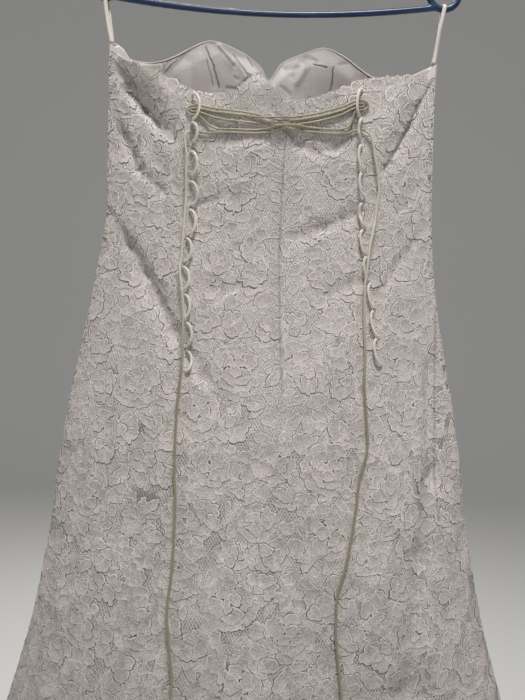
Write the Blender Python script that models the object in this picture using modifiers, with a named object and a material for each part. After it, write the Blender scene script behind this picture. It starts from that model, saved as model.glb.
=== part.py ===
"""Strapless lace wedding dress on a tubular plastic hanger.

Metres, +Z up. The origin is the inside top of the hanger's hook, where it rests on a rail. The back
of the dress faces -Y, with the wearer's left at -X. Every cloth piece is a wall whose inner face lies
on one common skin: a ring of back and front at each height, flat like a lens in the bodice and round
at the hem.
"""
import math
from collections import namedtuple

import bmesh
import bpy
from mathutils import Vector
from mathutils.bvhtree import BVHTree

# ---------------------------------------------------------------- driving dimensions
HEM_Z = -1.460
TOP_HALF_WIDTH = 0.188
LACE_WALL = 0.0012
SATIN_WALL = 0.0010
SEAM_GAP = 0.0004
UNDER_CUP_GAP = 0.0009
SATIN_DROP = 0.0015
SATIN_HEM_RISE = 0.020
TOP_GUESS_Z = -0.270
SEAM_ROUNDS = 4
SKIRT_ROWS = 20
UNDER_CUP_ROWS = 16
CUP_ROWS = 6

CORD_DIAMETER = 0.0028
LOOP_DIAMETER = 0.0030
PIECE_GAP = 0.0004
CORD_EASE = 0.0003
WELD = 0.00001

HANGER_TUBE = 0.0080
HOOK_TUBE = 0.0076
BAR_TUBE = 0.0074
TIP_EASE = 0.0003
HOOK_INNER_RADIUS = 0.022
HOOK_START = -45
HOOK_END = 205
NECK_Z = -0.118
NOTCH_X = 0.1945
NOTCH_Z = -0.1721
NOTCH_RADIUS = 0.0168
BAR_END_X = 0.187
BAR_END_Z = -0.187
BAR_BOW = 0.014
BAR_SIDES = 14

# the shoulder's slope, as the drop below the neck, and the shank's bend from the neck to the hook
ShoulderPoint = namedtuple("ShoulderPoint", "x drop")
SHOULDER = [
    ShoulderPoint(0.000, 0.000),
    ShoulderPoint(0.030, 0.003),
    ShoulderPoint(0.090, 0.017),
    ShoulderPoint(0.150, 0.033),
    ShoulderPoint(0.175, 0.043),
]
ShankPoint = namedtuple("ShankPoint", "x z")
SHANK = [
    ShankPoint(0.000, -0.1200),
    ShankPoint(0.000, -0.0900),
    ShankPoint(0.000, -0.0700),
    ShankPoint(0.006, -0.0555),
]

RIBBON_WIDTH = 0.0055
RIBBON_WALL = 0.0010
RIBBON_EASE = 0.0009
RIBBON_FOOT = 0.0009
RibbonCorner = namedtuple("RibbonCorner", "x z")
RIBBON_CORNERS = [
    RibbonCorner(-0.1855, -0.2408),
    RibbonCorner(0.1850, -0.2526),
]

# ---------------------------------------------------------------- the common skin
Section = namedtuple("Section", "z shift half_width back_depth front_depth roundness flute")
SECTIONS = [
    Section(-1.460, 0.0140, 0.4000, 0.178, 0.183, 1.00, 0.030),
    Section(-1.280, 0.0125, 0.3550, 0.150, 0.155, 0.95, 0.023),
    Section(-1.100, 0.0108, 0.3100, 0.122, 0.127, 0.85, 0.015),
    Section(-0.990, 0.0092, 0.2815, 0.105, 0.110, 0.75, 0.009),
    Section(-0.900, 0.0068, 0.2580, 0.092, 0.096, 0.64, 0.005),
    Section(-0.800, 0.0035, 0.2395, 0.078, 0.084, 0.52, 0.002),
    Section(-0.720, 0.0015, 0.2305, 0.070, 0.076, 0.42, 0.000),
    Section(-0.640, 0.0005, 0.2185, 0.060, 0.068, 0.30, 0.000),
    Section(-0.560, 0.0000, 0.2030, 0.048, 0.060, 0.15, 0.000),
    Section(-0.500, 0.0005, 0.1935, 0.040, 0.054, 0.00, 0.000),
    Section(-0.440, 0.0022, 0.1868, 0.036, 0.052, 0.00, 0.000),
    Section(-0.380, 0.0012, 0.1865, 0.040, 0.064, 0.00, 0.000),
    Section(-0.310, 0.0005, 0.1868, 0.043, 0.074, 0.00, 0.000),
    Section(-0.250, 0.0000, 0.1880, 0.039, 0.060, 0.00, 0.000),
    Section(-0.190, 0.0000, 0.1880, 0.034, 0.050, 0.00, 0.000),
]

# how far the satin layer lies inside the lace
Lining = namedtuple("Lining", "z side back front")
LINING = [
    Lining(-1.460, 0.012, 0.0120, 0.0120),
    Lining(-0.900, 0.010, 0.0080, 0.0080),
    Lining(-0.600, 0.006, 0.0030, 0.0050),
    Lining(-0.450, 0.005, 0.0022, 0.0050),
    Lining(-0.300, 0.005, 0.0024, 0.0082),
    Lining(-0.190, 0.005, 0.0024, 0.0034),
]

# top edges, left to right
EdgePoint = namedtuple("EdgePoint", "x z")
BACK_EDGE = [
    EdgePoint(-0.188, -0.2475),
    EdgePoint(-0.168, -0.2620),
    EdgePoint(-0.119, -0.2850),
    EdgePoint(-0.084, -0.3040),
    EdgePoint(-0.060, -0.3060),
    EdgePoint(-0.038, -0.3020),
    EdgePoint(-0.021, -0.2870),
    EdgePoint(-0.004, -0.2960),
    EdgePoint(0.021, -0.3120),
    EdgePoint(0.048, -0.3075),
    EdgePoint(0.082, -0.2930),
    EdgePoint(0.101, -0.2830),
    EdgePoint(0.133, -0.2755),
    EdgePoint(0.169, -0.2690),
    EdgePoint(0.188, -0.2610),
]
FRONT_EDGE = [
    EdgePoint(-0.188, -0.2425),
    EdgePoint(-0.1795, -0.2405),
    EdgePoint(-0.1705, -0.2525),
    EdgePoint(-0.156, -0.2530),
    EdgePoint(-0.139, -0.2490),
    EdgePoint(-0.122, -0.2405),
    EdgePoint(-0.088, -0.2195),
    EdgePoint(-0.071, -0.2150),
    EdgePoint(-0.040, -0.2240),
    EdgePoint(-0.015, -0.2400),
    EdgePoint(-0.004, -0.2550),
    EdgePoint(0.010, -0.2370),
    EdgePoint(0.038, -0.2240),
    EdgePoint(0.063, -0.2180),
    EdgePoint(0.088, -0.2290),
    EdgePoint(0.123, -0.2540),
    EdgePoint(0.154, -0.2610),
    EdgePoint(0.188, -0.2535),
]
UNDER_CUP_EDGE = [
    EdgePoint(-0.188, -0.290),
    EdgePoint(-0.132, -0.305),
    EdgePoint(-0.075, -0.372),
    EdgePoint(-0.004, -0.335),
    EdgePoint(0.067, -0.372),
    EdgePoint(0.132, -0.310),
    EdgePoint(0.188, -0.290),
]

# seams of the back, as stations from 0 at the left side seam to 1 at the right one
BackSeams = namedtuple("BackSeams", "z left centre right")
BACK_SEAMS = [
    BackSeams(-1.460, 0.362, 0.5160, 0.6670),
    BackSeams(-0.750, 0.336, 0.5370, 0.7530),
    BackSeams(-0.600, 0.320, 0.5475, 0.7850),
    BackSeams(-0.550, 0.299, 0.5500, 0.7930),
    BackSeams(-0.500, 0.261, 0.5540, 0.8010),
    BackSeams(-0.450, 0.262, 0.5495, 0.7810),
    BackSeams(-0.400, 0.262, 0.5490, 0.7760),
    BackSeams(-0.310, 0.265, 0.5490, 0.7685),
    BackSeams(-0.250, 0.266, 0.5475, 0.7650),
]
FRONT_SEAM = 0.27
CUP_SEAM = 0.15
CUP_SEAM_EASE = 0.0010
CUP_CENTRE = 0.489

# the largest drape folds: soft troughs (depth below zero) and ridges along a line
Fold = namedtuple("Fold", "side x1 z1 x2 z2 width depth")
FOLDS = [
    Fold(-1, -0.180, -0.262, -0.108, -0.360, 0.012, -0.0032),
    Fold(-1, -0.176, -0.300, -0.100, -0.425, 0.012, -0.0026),
    Fold(-1, -0.160, -0.262, -0.085, -0.352, 0.012, 0.0026),
    Fold(-1, -0.176, -0.450, -0.090, -0.585, 0.014, -0.0036),
    Fold(-1, 0.178, -0.282, 0.132, -0.385, 0.010, -0.0024),
    Fold(-1, 0.160, -0.280, 0.112, -0.375, 0.012, 0.0025),
    Fold(-1, 0.022, -0.345, 0.088, -0.360, 0.011, -0.0030),
    Fold(-1, -0.060, -0.350, 0.010, -0.352, 0.011, -0.0018),
    Fold(-1, 0.150, -0.560, 0.175, -0.720, 0.022, -0.0040),
    Fold(-1, -0.130, -0.640, -0.150, -0.860, 0.026, -0.0040),
    Fold(1, -0.176, -0.262, -0.115, -0.360, 0.014, -0.0045),
    Fold(1, 0.176, -0.275, 0.112, -0.370, 0.014, -0.0045),
    Fold(1, -0.120, -0.450, -0.070, -0.600, 0.020, -0.0040),
    Fold(1, 0.130, -0.440, 0.080, -0.580, 0.020, -0.0040),
]
FOLD_FADE = 0.14
FOLD_END_SHARE = 0.35

# the skirt's flutes: waves round the ring
Flute = namedtuple("Flute", "count share phase")
FLUTES = [
    Flute(5, 0.6, 0.6),
    Flute(8, 0.4, -0.9),
]
FLUTE_SPREAD = 0.6

# bust cups: the swell of the front over each breast point
CUP_X = 0.086
CUP_Z = -0.300
CUP_REACH_X = 0.060
CUP_REACH_Z = 0.058
CUP_SWELL = 0.026

# ---------------------------------------------------------------- lacing
# one row for each loop of the two columns: where it starts, how far it drops, how far it bows to
# the right (reach), how far its lower end lies to the right (slant), how far it stands out
Loop = namedtuple("Loop", "top drop reach slant stand")
LEFT_LOOPS = [
    Loop(-0.3080, 0.028, 0.0085, 0.001, 0.0062),
    Loop(-0.3400, 0.0205, 0.0065, 0.002, 0.0062),
    Loop(-0.3710, 0.026, 0.0075, 0.001, 0.0030),
    Loop(-0.4040, 0.025, 0.0080, 0.002, 0.0030),
    Loop(-0.4350, 0.027, 0.0075, 0.000, 0.0030),
    Loop(-0.4675, 0.025, 0.0070, -0.001, 0.0030),
    Loop(-0.4990, 0.025, 0.0080, 0.001, 0.0030),
    Loop(-0.5300, 0.026, 0.0070, 0.000, 0.0030),
    Loop(-0.5610, 0.026, 0.0070, 0.000, 0.0030),
    Loop(-0.5910, 0.022, 0.0065, 0.001, 0.0030),
]
RIGHT_LOOPS = [
    Loop(-0.2950, 0.0295, -0.0050, -0.002, 0.0062),
    Loop(-0.3285, 0.020, -0.0035, -0.001, 0.0062),
    Loop(-0.3570, 0.027, -0.0050, 0.003, 0.0030),
    Loop(-0.3880, 0.025, -0.0035, 0.004, 0.0030),
    Loop(-0.4210, 0.025, -0.0035, 0.005, 0.0030),
    Loop(-0.4505, 0.026, -0.0040, 0.005, 0.0030),
    Loop(-0.4800, 0.026, -0.0040, 0.004, 0.0030),
    Loop(-0.5095, 0.027, -0.0030, 0.005, 0.0030),
    Loop(-0.5400, 0.028, -0.0025, 0.006, 0.0030),
    Loop(-0.5710, 0.028, -0.0025, 0.006, 0.0030),
]
LOOP_SIDES = 6
LOOP_ROUNDNESS = 0.6
LOOP_SEAT = 0.08

# the lacing's way across the back, in five passes between the top loops; lift is the extra
# distance off the cloth, where one pass crosses over another
Pass = namedtuple("Pass", "x z lift")
LACING_ROUTE = [
    Pass(-0.0885, -0.3500, 0.0000),
    Pass(-0.0790, -0.3494, 0.0000),
    Pass(-0.0702, -0.3511, 0.0000),
    Pass(-0.0535, -0.3501, 0.0000),
    Pass(-0.0325, -0.3500, 0.0000),
    Pass(-0.0160, -0.3503, 0.0000),
    Pass(-0.0018, -0.3489, 0.0000),
    Pass(0.0091, -0.3462, 0.0000),
    Pass(0.0200, -0.3428, 0.0000),
    Pass(0.0331, -0.3389, 0.0000),
    Pass(0.0496, -0.3353, 0.0000),
    Pass(0.0639, -0.3310, 0.0000),
    Pass(0.0771, -0.3259, 0.0000),
    Pass(0.0882, -0.3194, 0.0000),
    Pass(0.0949, -0.3157, 0.0000),
    Pass(0.1008, -0.3149, 0.0000),
    Pass(0.1025, -0.3139, 0.0000),
    Pass(0.1029, -0.3129, 0.0000),
    Pass(0.1024, -0.3120, 0.0000),
    Pass(0.1007, -0.3114, 0.0000),
    Pass(0.0936, -0.3123, 0.0000),
    Pass(0.0792, -0.3203, 0.0000),
    Pass(0.0626, -0.3267, 0.0000),
    Pass(0.0439, -0.3317, 0.0000),
    Pass(0.0307, -0.3345, 0.0000),
    Pass(0.0197, -0.3357, 0.0000),
    Pass(0.0087, -0.3356, 0.0000),
    Pass(-0.0023, -0.3338, 0.0000),
    Pass(-0.0156, -0.3305, 0.0000),
    Pass(-0.0289, -0.3281, 0.0000),
    Pass(-0.0443, -0.3265, 0.0000),
    Pass(-0.0599, -0.3248, 0.0000),
    Pass(-0.0711, -0.3224, 0.0000),
    Pass(-0.0802, -0.3208, 0.0000),
    Pass(-0.0874, -0.3207, 0.0000),
    Pass(-0.0914, -0.3224, 0.0000),
    Pass(-0.0926, -0.3254, 0.0000),
    Pass(-0.0912, -0.3286, 0.0000),
    Pass(-0.0871, -0.3307, 0.0000),
    Pass(-0.0810, -0.3314, 0.0000),
    Pass(-0.0741, -0.3359, 0.0000),
    Pass(-0.0677, -0.3423, 0.0000),
    Pass(-0.0592, -0.3461, 0.0000),
    Pass(-0.0481, -0.3467, 0.0000),
    Pass(-0.0326, -0.3468, 0.0000),
    Pass(-0.0194, -0.3470, 0.0000),
    Pass(-0.0084, -0.3463, 0.0000),
    Pass(-0.0019, -0.3453, 0.0010),
    Pass(0.0047, -0.3440, 0.0048),
    Pass(0.0123, -0.3426, 0.0068),
    Pass(0.0200, -0.3416, 0.0068),
    Pass(0.0266, -0.3412, 0.0052),
    Pass(0.0332, -0.3414, 0.0030),
    Pass(0.0420, -0.3417, 0.0002),
    Pass(0.0532, -0.3422, 0.0000),
    Pass(0.0666, -0.3425, 0.0000),
    Pass(0.0778, -0.3416, 0.0000),
    Pass(0.0844, -0.3391, 0.0000),
    Pass(0.0888, -0.3338, 0.0000),
    Pass(0.0918, -0.3242, 0.0000),
    Pass(0.0950, -0.3198, 0.0000),
    Pass(0.1007, -0.3183, 0.0000),
    Pass(0.1059, -0.3161, 0.0000),
    Pass(0.1078, -0.3122, 0.0000),
    Pass(0.1056, -0.3088, 0.0000),
    Pass(0.1003, -0.3077, 0.0000),
    Pass(0.0935, -0.3088, 0.0000),
    Pass(0.0790, -0.3165, 0.0000),
    Pass(0.0624, -0.3228, 0.0000),
    Pass(0.0437, -0.3281, 0.0000),
    Pass(0.0306, -0.3309, 0.0000),
    Pass(0.0218, -0.3323, 0.0006),
    Pass(0.0142, -0.3330, 0.0030),
    Pass(0.0043, -0.3340, 0.0034),
    Pass(-0.0045, -0.3344, 0.0034),
    Pass(-0.0122, -0.3341, 0.0022),
    Pass(-0.0199, -0.3327, 0.0004),
    Pass(-0.0287, -0.3315, 0.0000),
    Pass(-0.0442, -0.3299, 0.0000),
    Pass(-0.0598, -0.3282, 0.0000),
    Pass(-0.0710, -0.3258, 0.0000),
    Pass(-0.0801, -0.3241, 0.0000),
    Pass(-0.0866, -0.3238, 0.0000),
    Pass(-0.0883, -0.3245, 0.0000),
    Pass(-0.0888, -0.3255, 0.0000),
    Pass(-0.0882, -0.3265, 0.0000),
    Pass(-0.0865, -0.3273, 0.0000),
    Pass(-0.0800, -0.3276, 0.0000),
    Pass(-0.0686, -0.3318, 0.0000),
    Pass(-0.0529, -0.3361, 0.0000),
    Pass(-0.0373, -0.3378, 0.0000),
    Pass(-0.0219, -0.3392, 0.0000),
    Pass(-0.0086, -0.3405, 0.0000),
    Pass(0.0013, -0.3414, 0.0006),
    Pass(0.0101, -0.3422, 0.0032),
    Pass(0.0189, -0.3436, 0.0034),
    Pass(0.0267, -0.3447, 0.0026),
    Pass(0.0344, -0.3456, 0.0004),
    Pass(0.0422, -0.3460, 0.0000),
    Pass(0.0555, -0.3463, 0.0000),
    Pass(0.0701, -0.3464, 0.0000),
    Pass(0.0836, -0.3453, 0.0000),
    Pass(0.0925, -0.3418, 0.0000),
    Pass(0.1000, -0.3392, 0.0000),
    Pass(0.1050, -0.3408, 0.0000),
]

# the free tails hang down over the back and end in a knot: their routes, top to bottom
TAIL_LEFT_ROUTE = [
    (-0.0893, -0.0377, -0.3501),
    (-0.0914, -0.0380, -0.3507),
    (-0.0932, -0.0378, -0.3530),
    (-0.0938, -0.0374, -0.3572),
    (-0.0931, -0.0368, -0.3640),
    (-0.0915, -0.0361, -0.3740),
    (-0.0915, -0.0346, -0.3900),
    (-0.0908, -0.0330, -0.4230),
    (-0.0918, -0.0332, -0.4510),
    (-0.0930, -0.0365, -0.4860),
    (-0.0940, -0.0402, -0.5020),
    (-0.0905, -0.0448, -0.5240),
    (-0.0880, -0.0480, -0.5430),
    (-0.0866, -0.0537, -0.5800),
    (-0.0865, -0.0575, -0.6100),
    (-0.0886, -0.0585, -0.6330),
    (-0.0899, -0.0608, -0.6660),
    (-0.0892, -0.0667, -0.7215),
    (-0.0868, -0.0704, -0.7530),
    (-0.0868, -0.0782, -0.8170),
    (-0.0901, -0.0838, -0.8590),
    (-0.0857, -0.0911, -0.8980),
    (-0.0814, -0.0970, -0.9260),
    (-0.0818, -0.1022, -0.9510),
    (-0.0830, -0.1085, -0.9850),
    (-0.0822, -0.1158, -1.0200),
    (-0.0815, -0.1262, -1.0600),
]
TAIL_RIGHT_ROUTE = [
    (0.1057, -0.0331, -0.3411),
    (0.1086, -0.0330, -0.3424),
    (0.1120, -0.0325, -0.3464),
    (0.1152, -0.0317, -0.3570),
    (0.1179, -0.0305, -0.3717),
    (0.1215, -0.0284, -0.3870),
    (0.1236, -0.0268, -0.4050),
    (0.1222, -0.0268, -0.4200),
    (0.1204, -0.0288, -0.4380),
    (0.1175, -0.0324, -0.4550),
    (0.1146, -0.0352, -0.4703),
    (0.1123, -0.0377, -0.4940),
    (0.1105, -0.0384, -0.5100),
    (0.1105, -0.0386, -0.5300),
    (0.1111, -0.0404, -0.5570),
    (0.1124, -0.0443, -0.5880),
    (0.1121, -0.0487, -0.6190),
    (0.1148, -0.0532, -0.6550),
    (0.1168, -0.0567, -0.6866),
    (0.1130, -0.0599, -0.7050),
    (0.1084, -0.0629, -0.7217),
    (0.1046, -0.0674, -0.7585),
    (0.0969, -0.0739, -0.8072),
    (0.0880, -0.0788, -0.8395),
    (0.0868, -0.0816, -0.8626),
    (0.0876, -0.0849, -0.8925),
    (0.0928, -0.0889, -0.9328),
    (0.0952, -0.0922, -0.9600),
    (0.0970, -0.0963, -1.0000),
    (0.0975, -0.1032, -1.0450),
]
TAIL_POINTS = 66
TAIL_CROWDING = 1.35
KNOT_WIDTH = 0.0070
KNOT_HEIGHT = 0.0090


# ---------------------------------------------------------------- shape functions
def smooth_row(rows, place):
    """The row at this place, on a smooth curve through the given rows.

    A table's first column is the place, and it rises from row to row.
    """
    last = len(rows) - 1
    place = min(max(place, rows[0][0]), rows[last][0])
    low = max(index for index in range(last) if rows[index][0] <= place)
    span = rows[low + 1][0] - rows[low][0]
    t = (place - rows[low][0]) / span

    def slope(index, column):
        before, after = rows[max(index - 1, 0)], rows[min(index + 1, last)]
        return span * (after[column] - before[column]) / (after[0] - before[0])

    values = []
    for column in range(len(rows[0])):
        start, end = rows[low][column], rows[low + 1][column]
        values.append(
            (1 + 2 * t) * (1 - t) ** 2 * start
            + t * (1 - t) ** 2 * slope(low, column)
            + t * t * (3 - 2 * t) * end
            + t * t * (t - 1) * slope(low + 1, column)
        )
    return type(rows[0])(*values)


def across(station, roundness):
    """Share of the half width, from -1 to 1, at a station of a lens or of a round section."""
    return (1 - roundness) * (2 * station - 1) - roundness * math.cos(math.pi * station)


def fold_offset(side, x, z):
    """How far the largest drape folds move the skin outwards here."""
    total = 0.0
    for fold in FOLDS:
        if fold.side != side:
            continue
        along_x, along_z = fold.x2 - fold.x1, fold.z2 - fold.z1
        length_squared = along_x**2 + along_z**2
        t = ((x - fold.x1) * along_x + (z - fold.z1) * along_z) / length_squared
        held = min(max(t, 0.0), 1.0)
        away_x, away_z = x - fold.x1 - held * along_x, z - fold.z1 - held * along_z
        middle = FOLD_END_SHARE + (1 - FOLD_END_SHARE) * math.sin(math.pi * held)
        total += fold.depth * middle * math.exp(-(away_x**2 + away_z**2) / fold.width**2)
    return total


def cup_offset(x, z):
    """How far the two bust cups swell the front here."""
    height = math.exp(-(((z - CUP_Z) / CUP_REACH_Z) ** 2))
    return CUP_SWELL * sum(
        math.exp(-(((x - middle) / CUP_REACH_X) ** 2)) * height for middle in (-CUP_X, CUP_X)
    )


def flute_wave(side, station):
    """The skirt's flutes round the ring, from about -1 to 1."""
    angle = side * math.pi * station
    return sum(flute.share * math.cos(flute.count * angle + flute.phase) for flute in FLUTES)


def skin(side, station, z, lining=False):
    """Point on the skin of the lace, or of the satin layer inside it.

    The side is -1 at the back and 1 at the front.
    """
    row = smooth_row(SECTIONS, z)
    inset = smooth_row(LINING, z) if lining else Lining(z, 0.0, 0.0, 0.0)
    share = across(station, row.roundness)
    x = share * (row.half_width - inset.side)
    depth = row.front_depth - inset.front if side > 0 else row.back_depth - inset.back
    y = depth * max(0.0, 1 - share * share) ** (1 - row.roundness / 2)
    fade = min(1.0, (1 - abs(share)) / FOLD_FADE)
    y += fade * fold_offset(side, x, z)
    if side > 0:
        y += fade * cup_offset(x, z)
    wave = row.flute * flute_wave(side, station)
    x -= FLUTE_SPREAD * wave * math.cos(math.pi * station)
    y += wave * math.sin(math.pi * station)
    return Vector((x + row.shift, side * y, z))


def edge_height(edge, station):
    return smooth_row(edge, TOP_HALF_WIDTH * (2 * station - 1)).z


# ---------------------------------------------------------------- cloth panels
def back_seam(name):
    return lambda z: getattr(smooth_row(BACK_SEAMS, z), name)


def fixed_seam(station):
    return lambda z: station


LEFT_SIDE = fixed_seam(0.0)
RIGHT_SIDE = fixed_seam(1.0)


def row_fractions(count, crowding=1.45):
    """How far down the piece each row of points lies; they crowd towards its top."""
    return [(index / count) ** crowding for index in range(count + 1)]


def seam_stations(seams, counts, top, bottom, fraction):
    """Stations of one row's points, evenly spread between each seam and the next."""
    at_seams = []
    for seam in seams:
        station = seam((TOP_GUESS_Z + HEM_Z) / 2)
        for _ in range(SEAM_ROUNDS):
            z = (1 - fraction) * top(station) + fraction * bottom(station)
            station = seam(z)
        at_seams.append(station)
    stations = [at_seams[0]]
    for start, end, count in zip(at_seams, at_seams[1:], counts):
        stations += [start + (end - start) * step / count for step in range(1, count + 1)]
    return stations


def draw_in(station, z, toward):
    """Move a station half a seam gap towards the inside of its piece."""
    row = smooth_row(SECTIONS, z)
    pace = row.half_width * (2 + (math.pi - 2) * row.roundness)
    return station + toward * SEAM_GAP / 2 / pace


def make_panel(name, side, seams, counts, top, bottom, rows, wall, material, lining=False):
    """A cloth piece between two seams: an open grid laid on the skin, then given its wall."""
    fractions = row_fractions(rows)
    columns = sum(counts)
    mesh = bpy.data.meshes.new(name)
    grid = bmesh.new()
    bmesh.ops.create_grid(grid, x_segments=columns, y_segments=rows, size=0.5)
    for vert in grid.verts:
        column = round((vert.co.x + 0.5) * columns)
        if side > 0:
            column = columns - column
        fraction = fractions[round((0.5 - vert.co.y) * rows)]
        station = seam_stations(seams, counts, top, bottom, fraction)[column]
        z = (1 - fraction) * top(station) + fraction * bottom(station)
        if column == 0:
            station = draw_in(station, z, 1)
        if column == columns:
            station = draw_in(station, z, -1)
        vert.co = skin(side, station, z, lining)
    grid.to_mesh(mesh)
    grid.free()
    panel = bpy.data.objects.new(name, mesh)
    solidify = panel.modifiers.new("wall", "SOLIDIFY")
    solidify.thickness = wall
    solidify.offset = 1.0
    panel.data.materials.append(material)
    PARTS.objects.link(panel)
    return panel


LACE_BACK_PANELS = [
    ("lace_back_side_left", [LEFT_SIDE, back_seam("left")], [6]),
    ("lace_back_centre_left", [back_seam("left"), back_seam("centre")], [7]),
    ("lace_back_centre_right", [back_seam("centre"), back_seam("right")], [5]),
    ("lace_back_side_right", [back_seam("right"), RIGHT_SIDE], [5]),
]
SATIN_BACK_PANELS = [
    ("satin_back_left", [LEFT_SIDE, back_seam("left"), back_seam("centre")], [6, 7]),
    ("satin_back_right", [back_seam("centre"), back_seam("right"), RIGHT_SIDE], [5, 5]),
]
FRONT_LEFT, FRONT_RIGHT = fixed_seam(FRONT_SEAM), fixed_seam(1 - FRONT_SEAM)
CUP_LEFT, CUP_RIGHT = fixed_seam(CUP_SEAM), fixed_seam(1 - CUP_SEAM)
CUP_MIDDLE = fixed_seam(CUP_CENTRE)
UNDER_LEFT = fixed_seam(CUP_SEAM + CUP_SEAM_EASE)
UNDER_RIGHT = fixed_seam(1 - CUP_SEAM - CUP_SEAM_EASE)
LACE_FRONT_PANELS = [
    ("lace_front_side_left", [LEFT_SIDE, FRONT_LEFT], [6]),
    ("lace_front_centre", [FRONT_LEFT, CUP_MIDDLE, FRONT_RIGHT], [5, 5]),
    ("lace_front_side_right", [FRONT_RIGHT, RIGHT_SIDE], [6]),
]
SATIN_FRONT_SIDES = [
    ("satin_front_side_left", [LEFT_SIDE, CUP_LEFT], [3]),
    ("satin_front_side_right", [CUP_RIGHT, RIGHT_SIDE], [3]),
]
SATIN_CUPS = [
    ("satin_cup_left", [CUP_LEFT, CUP_MIDDLE], [7]),
    ("satin_cup_right", [CUP_MIDDLE, CUP_RIGHT], [7]),
]


def back_top(station):
    return edge_height(BACK_EDGE, station)


def front_top(station):
    return edge_height(FRONT_EDGE, station)


def satin_back_top(station):
    return back_top(station) - SATIN_DROP


def satin_front_top(station):
    return front_top(station) - SATIN_DROP


def cup_bottom(station):
    return edge_height(UNDER_CUP_EDGE, station) + UNDER_CUP_GAP / 2


def under_cup_top(station):
    return edge_height(UNDER_CUP_EDGE, station) - UNDER_CUP_GAP / 2


def hem(station):
    return HEM_Z


def satin_hem(station):
    return HEM_Z + SATIN_HEM_RISE


def make_cloth():
    """The lace panels, and the satin panels inside them."""
    lace, satin = MATERIALS["lace"], MATERIALS["satin"]
    for name, seams, counts in LACE_BACK_PANELS:
        make_panel(name, -1, seams, counts, back_top, hem, SKIRT_ROWS, LACE_WALL, lace)
    for name, seams, counts in LACE_FRONT_PANELS:
        make_panel(name, 1, seams, counts, front_top, hem, SKIRT_ROWS, LACE_WALL, lace)
    for name, seams, counts in SATIN_BACK_PANELS:
        make_panel(name, -1, seams, counts, satin_back_top, satin_hem, SKIRT_ROWS, SATIN_WALL, satin, True)
    for name, seams, counts in SATIN_FRONT_SIDES:
        make_panel(name, 1, seams, counts, satin_front_top, satin_hem, SKIRT_ROWS, SATIN_WALL, satin, True)
    make_panel(
        "satin_front", 1, [UNDER_LEFT, CUP_MIDDLE, UNDER_RIGHT], [7, 7],
        under_cup_top, satin_hem, UNDER_CUP_ROWS, SATIN_WALL, satin, True,
    )
    for name, seams, counts in SATIN_CUPS:
        make_panel(name, 1, seams, counts, satin_front_top, cup_bottom, CUP_ROWS, SATIN_WALL, satin, True)


# ---------------------------------------------------------------- tubes
def smooth_route(points, count=None, between=2, crowding=1.0):
    """Points along a smooth curve through a route's own points.

    With a count they are spaced by length along it, and crowd towards its start as asked; without,
    each stretch between two of the route's points gets the same number.
    """
    ends = [2 * points[0] - points[1], *points, 2 * points[-1] - points[-2]]
    fine = between if count is None else 24
    curve = []
    for before, start, end, after in zip(ends, ends[1:], ends[2:], ends[3:]):
        for step in range(fine):
            t = step / fine
            curve.append(0.5 * (
                2 * start
                + (end - before) * t
                + (2 * before - 5 * start + 4 * end - after) * t**2
                + (3 * start - before - 3 * end + after) * t**3
            ))
    curve.append(points[-1])
    if count is None:
        return curve
    lengths = [0.0]
    for start, end in zip(curve, curve[1:]):
        lengths.append(lengths[-1] + (end - start).length)
    spaced, index = [], 0
    for step in range(count):
        target = lengths[-1] * (step / (count - 1)) ** crowding
        while index < len(curve) - 2 and lengths[index + 1] < target:
            index += 1
        share = (target - lengths[index]) / (lengths[index + 1] - lengths[index])
        spaced.append(curve[index].lerp(curve[index + 1], share))
    return spaced


def make_tube(name, points, diameter, material, resolution=2):
    """A round tube with closed ends along these points."""
    curve = bpy.data.curves.new(name, "CURVE")
    curve.dimensions = "3D"
    curve.bevel_depth = diameter / 2
    curve.bevel_resolution = resolution
    curve.use_fill_caps = True
    spline = curve.splines.new("POLY")
    spline.points.add(len(points) - 1)
    for place, point in zip(spline.points, points):
        place.co = (*point, 1.0)
    tube = bpy.data.objects.new(name, curve)
    curve.materials.append(material)
    PARTS.objects.link(tube)
    return tube


def to_mesh(tube):
    """The same tube as a closed mesh object, so that it can be joined to others."""
    depsgraph = bpy.context.evaluated_depsgraph_get()
    mesh = bpy.data.meshes.new_from_object(tube.evaluated_get(depsgraph))
    shape = bmesh.new()
    shape.from_mesh(mesh)
    bmesh.ops.remove_doubles(shape, verts=shape.verts, dist=WELD)
    shape.to_mesh(mesh)
    shape.free()
    name = tube.name
    place = tube.matrix_world.copy()
    bpy.data.objects.remove(tube)
    piece = bpy.data.objects.new(name, mesh)
    piece.matrix_world = place
    PARTS.objects.link(piece)
    return piece


# ---------------------------------------------------------------- lacing loops and cords
class Cloth:
    """The outside of the back's lace panels, for laying cords on."""

    def __init__(self, names):
        depsgraph = bpy.context.evaluated_depsgraph_get()
        self.walls = [BVHTree.FromObject(bpy.data.objects[name], depsgraph) for name in names]

    def face(self, x, z):
        """The outermost y of the cloth at one point."""
        hits = [wall.ray_cast(Vector((x, -1.0, z)), Vector((0, 1, 0)))[0] for wall in self.walls]
        return min((hit.y for hit in hits if hit), default=0.0)

    def clear_of(self, x, z, radius):
        """The y of a cord's centre that lies on the cloth here, a piece gap off it."""
        spots = [(0, 0), (radius, 0), (-radius, 0), (0, radius), (0, -radius)]
        nearest = min(self.face(x + dx, z + dz) for dx, dz in spots)
        return nearest - radius - PIECE_GAP


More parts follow.
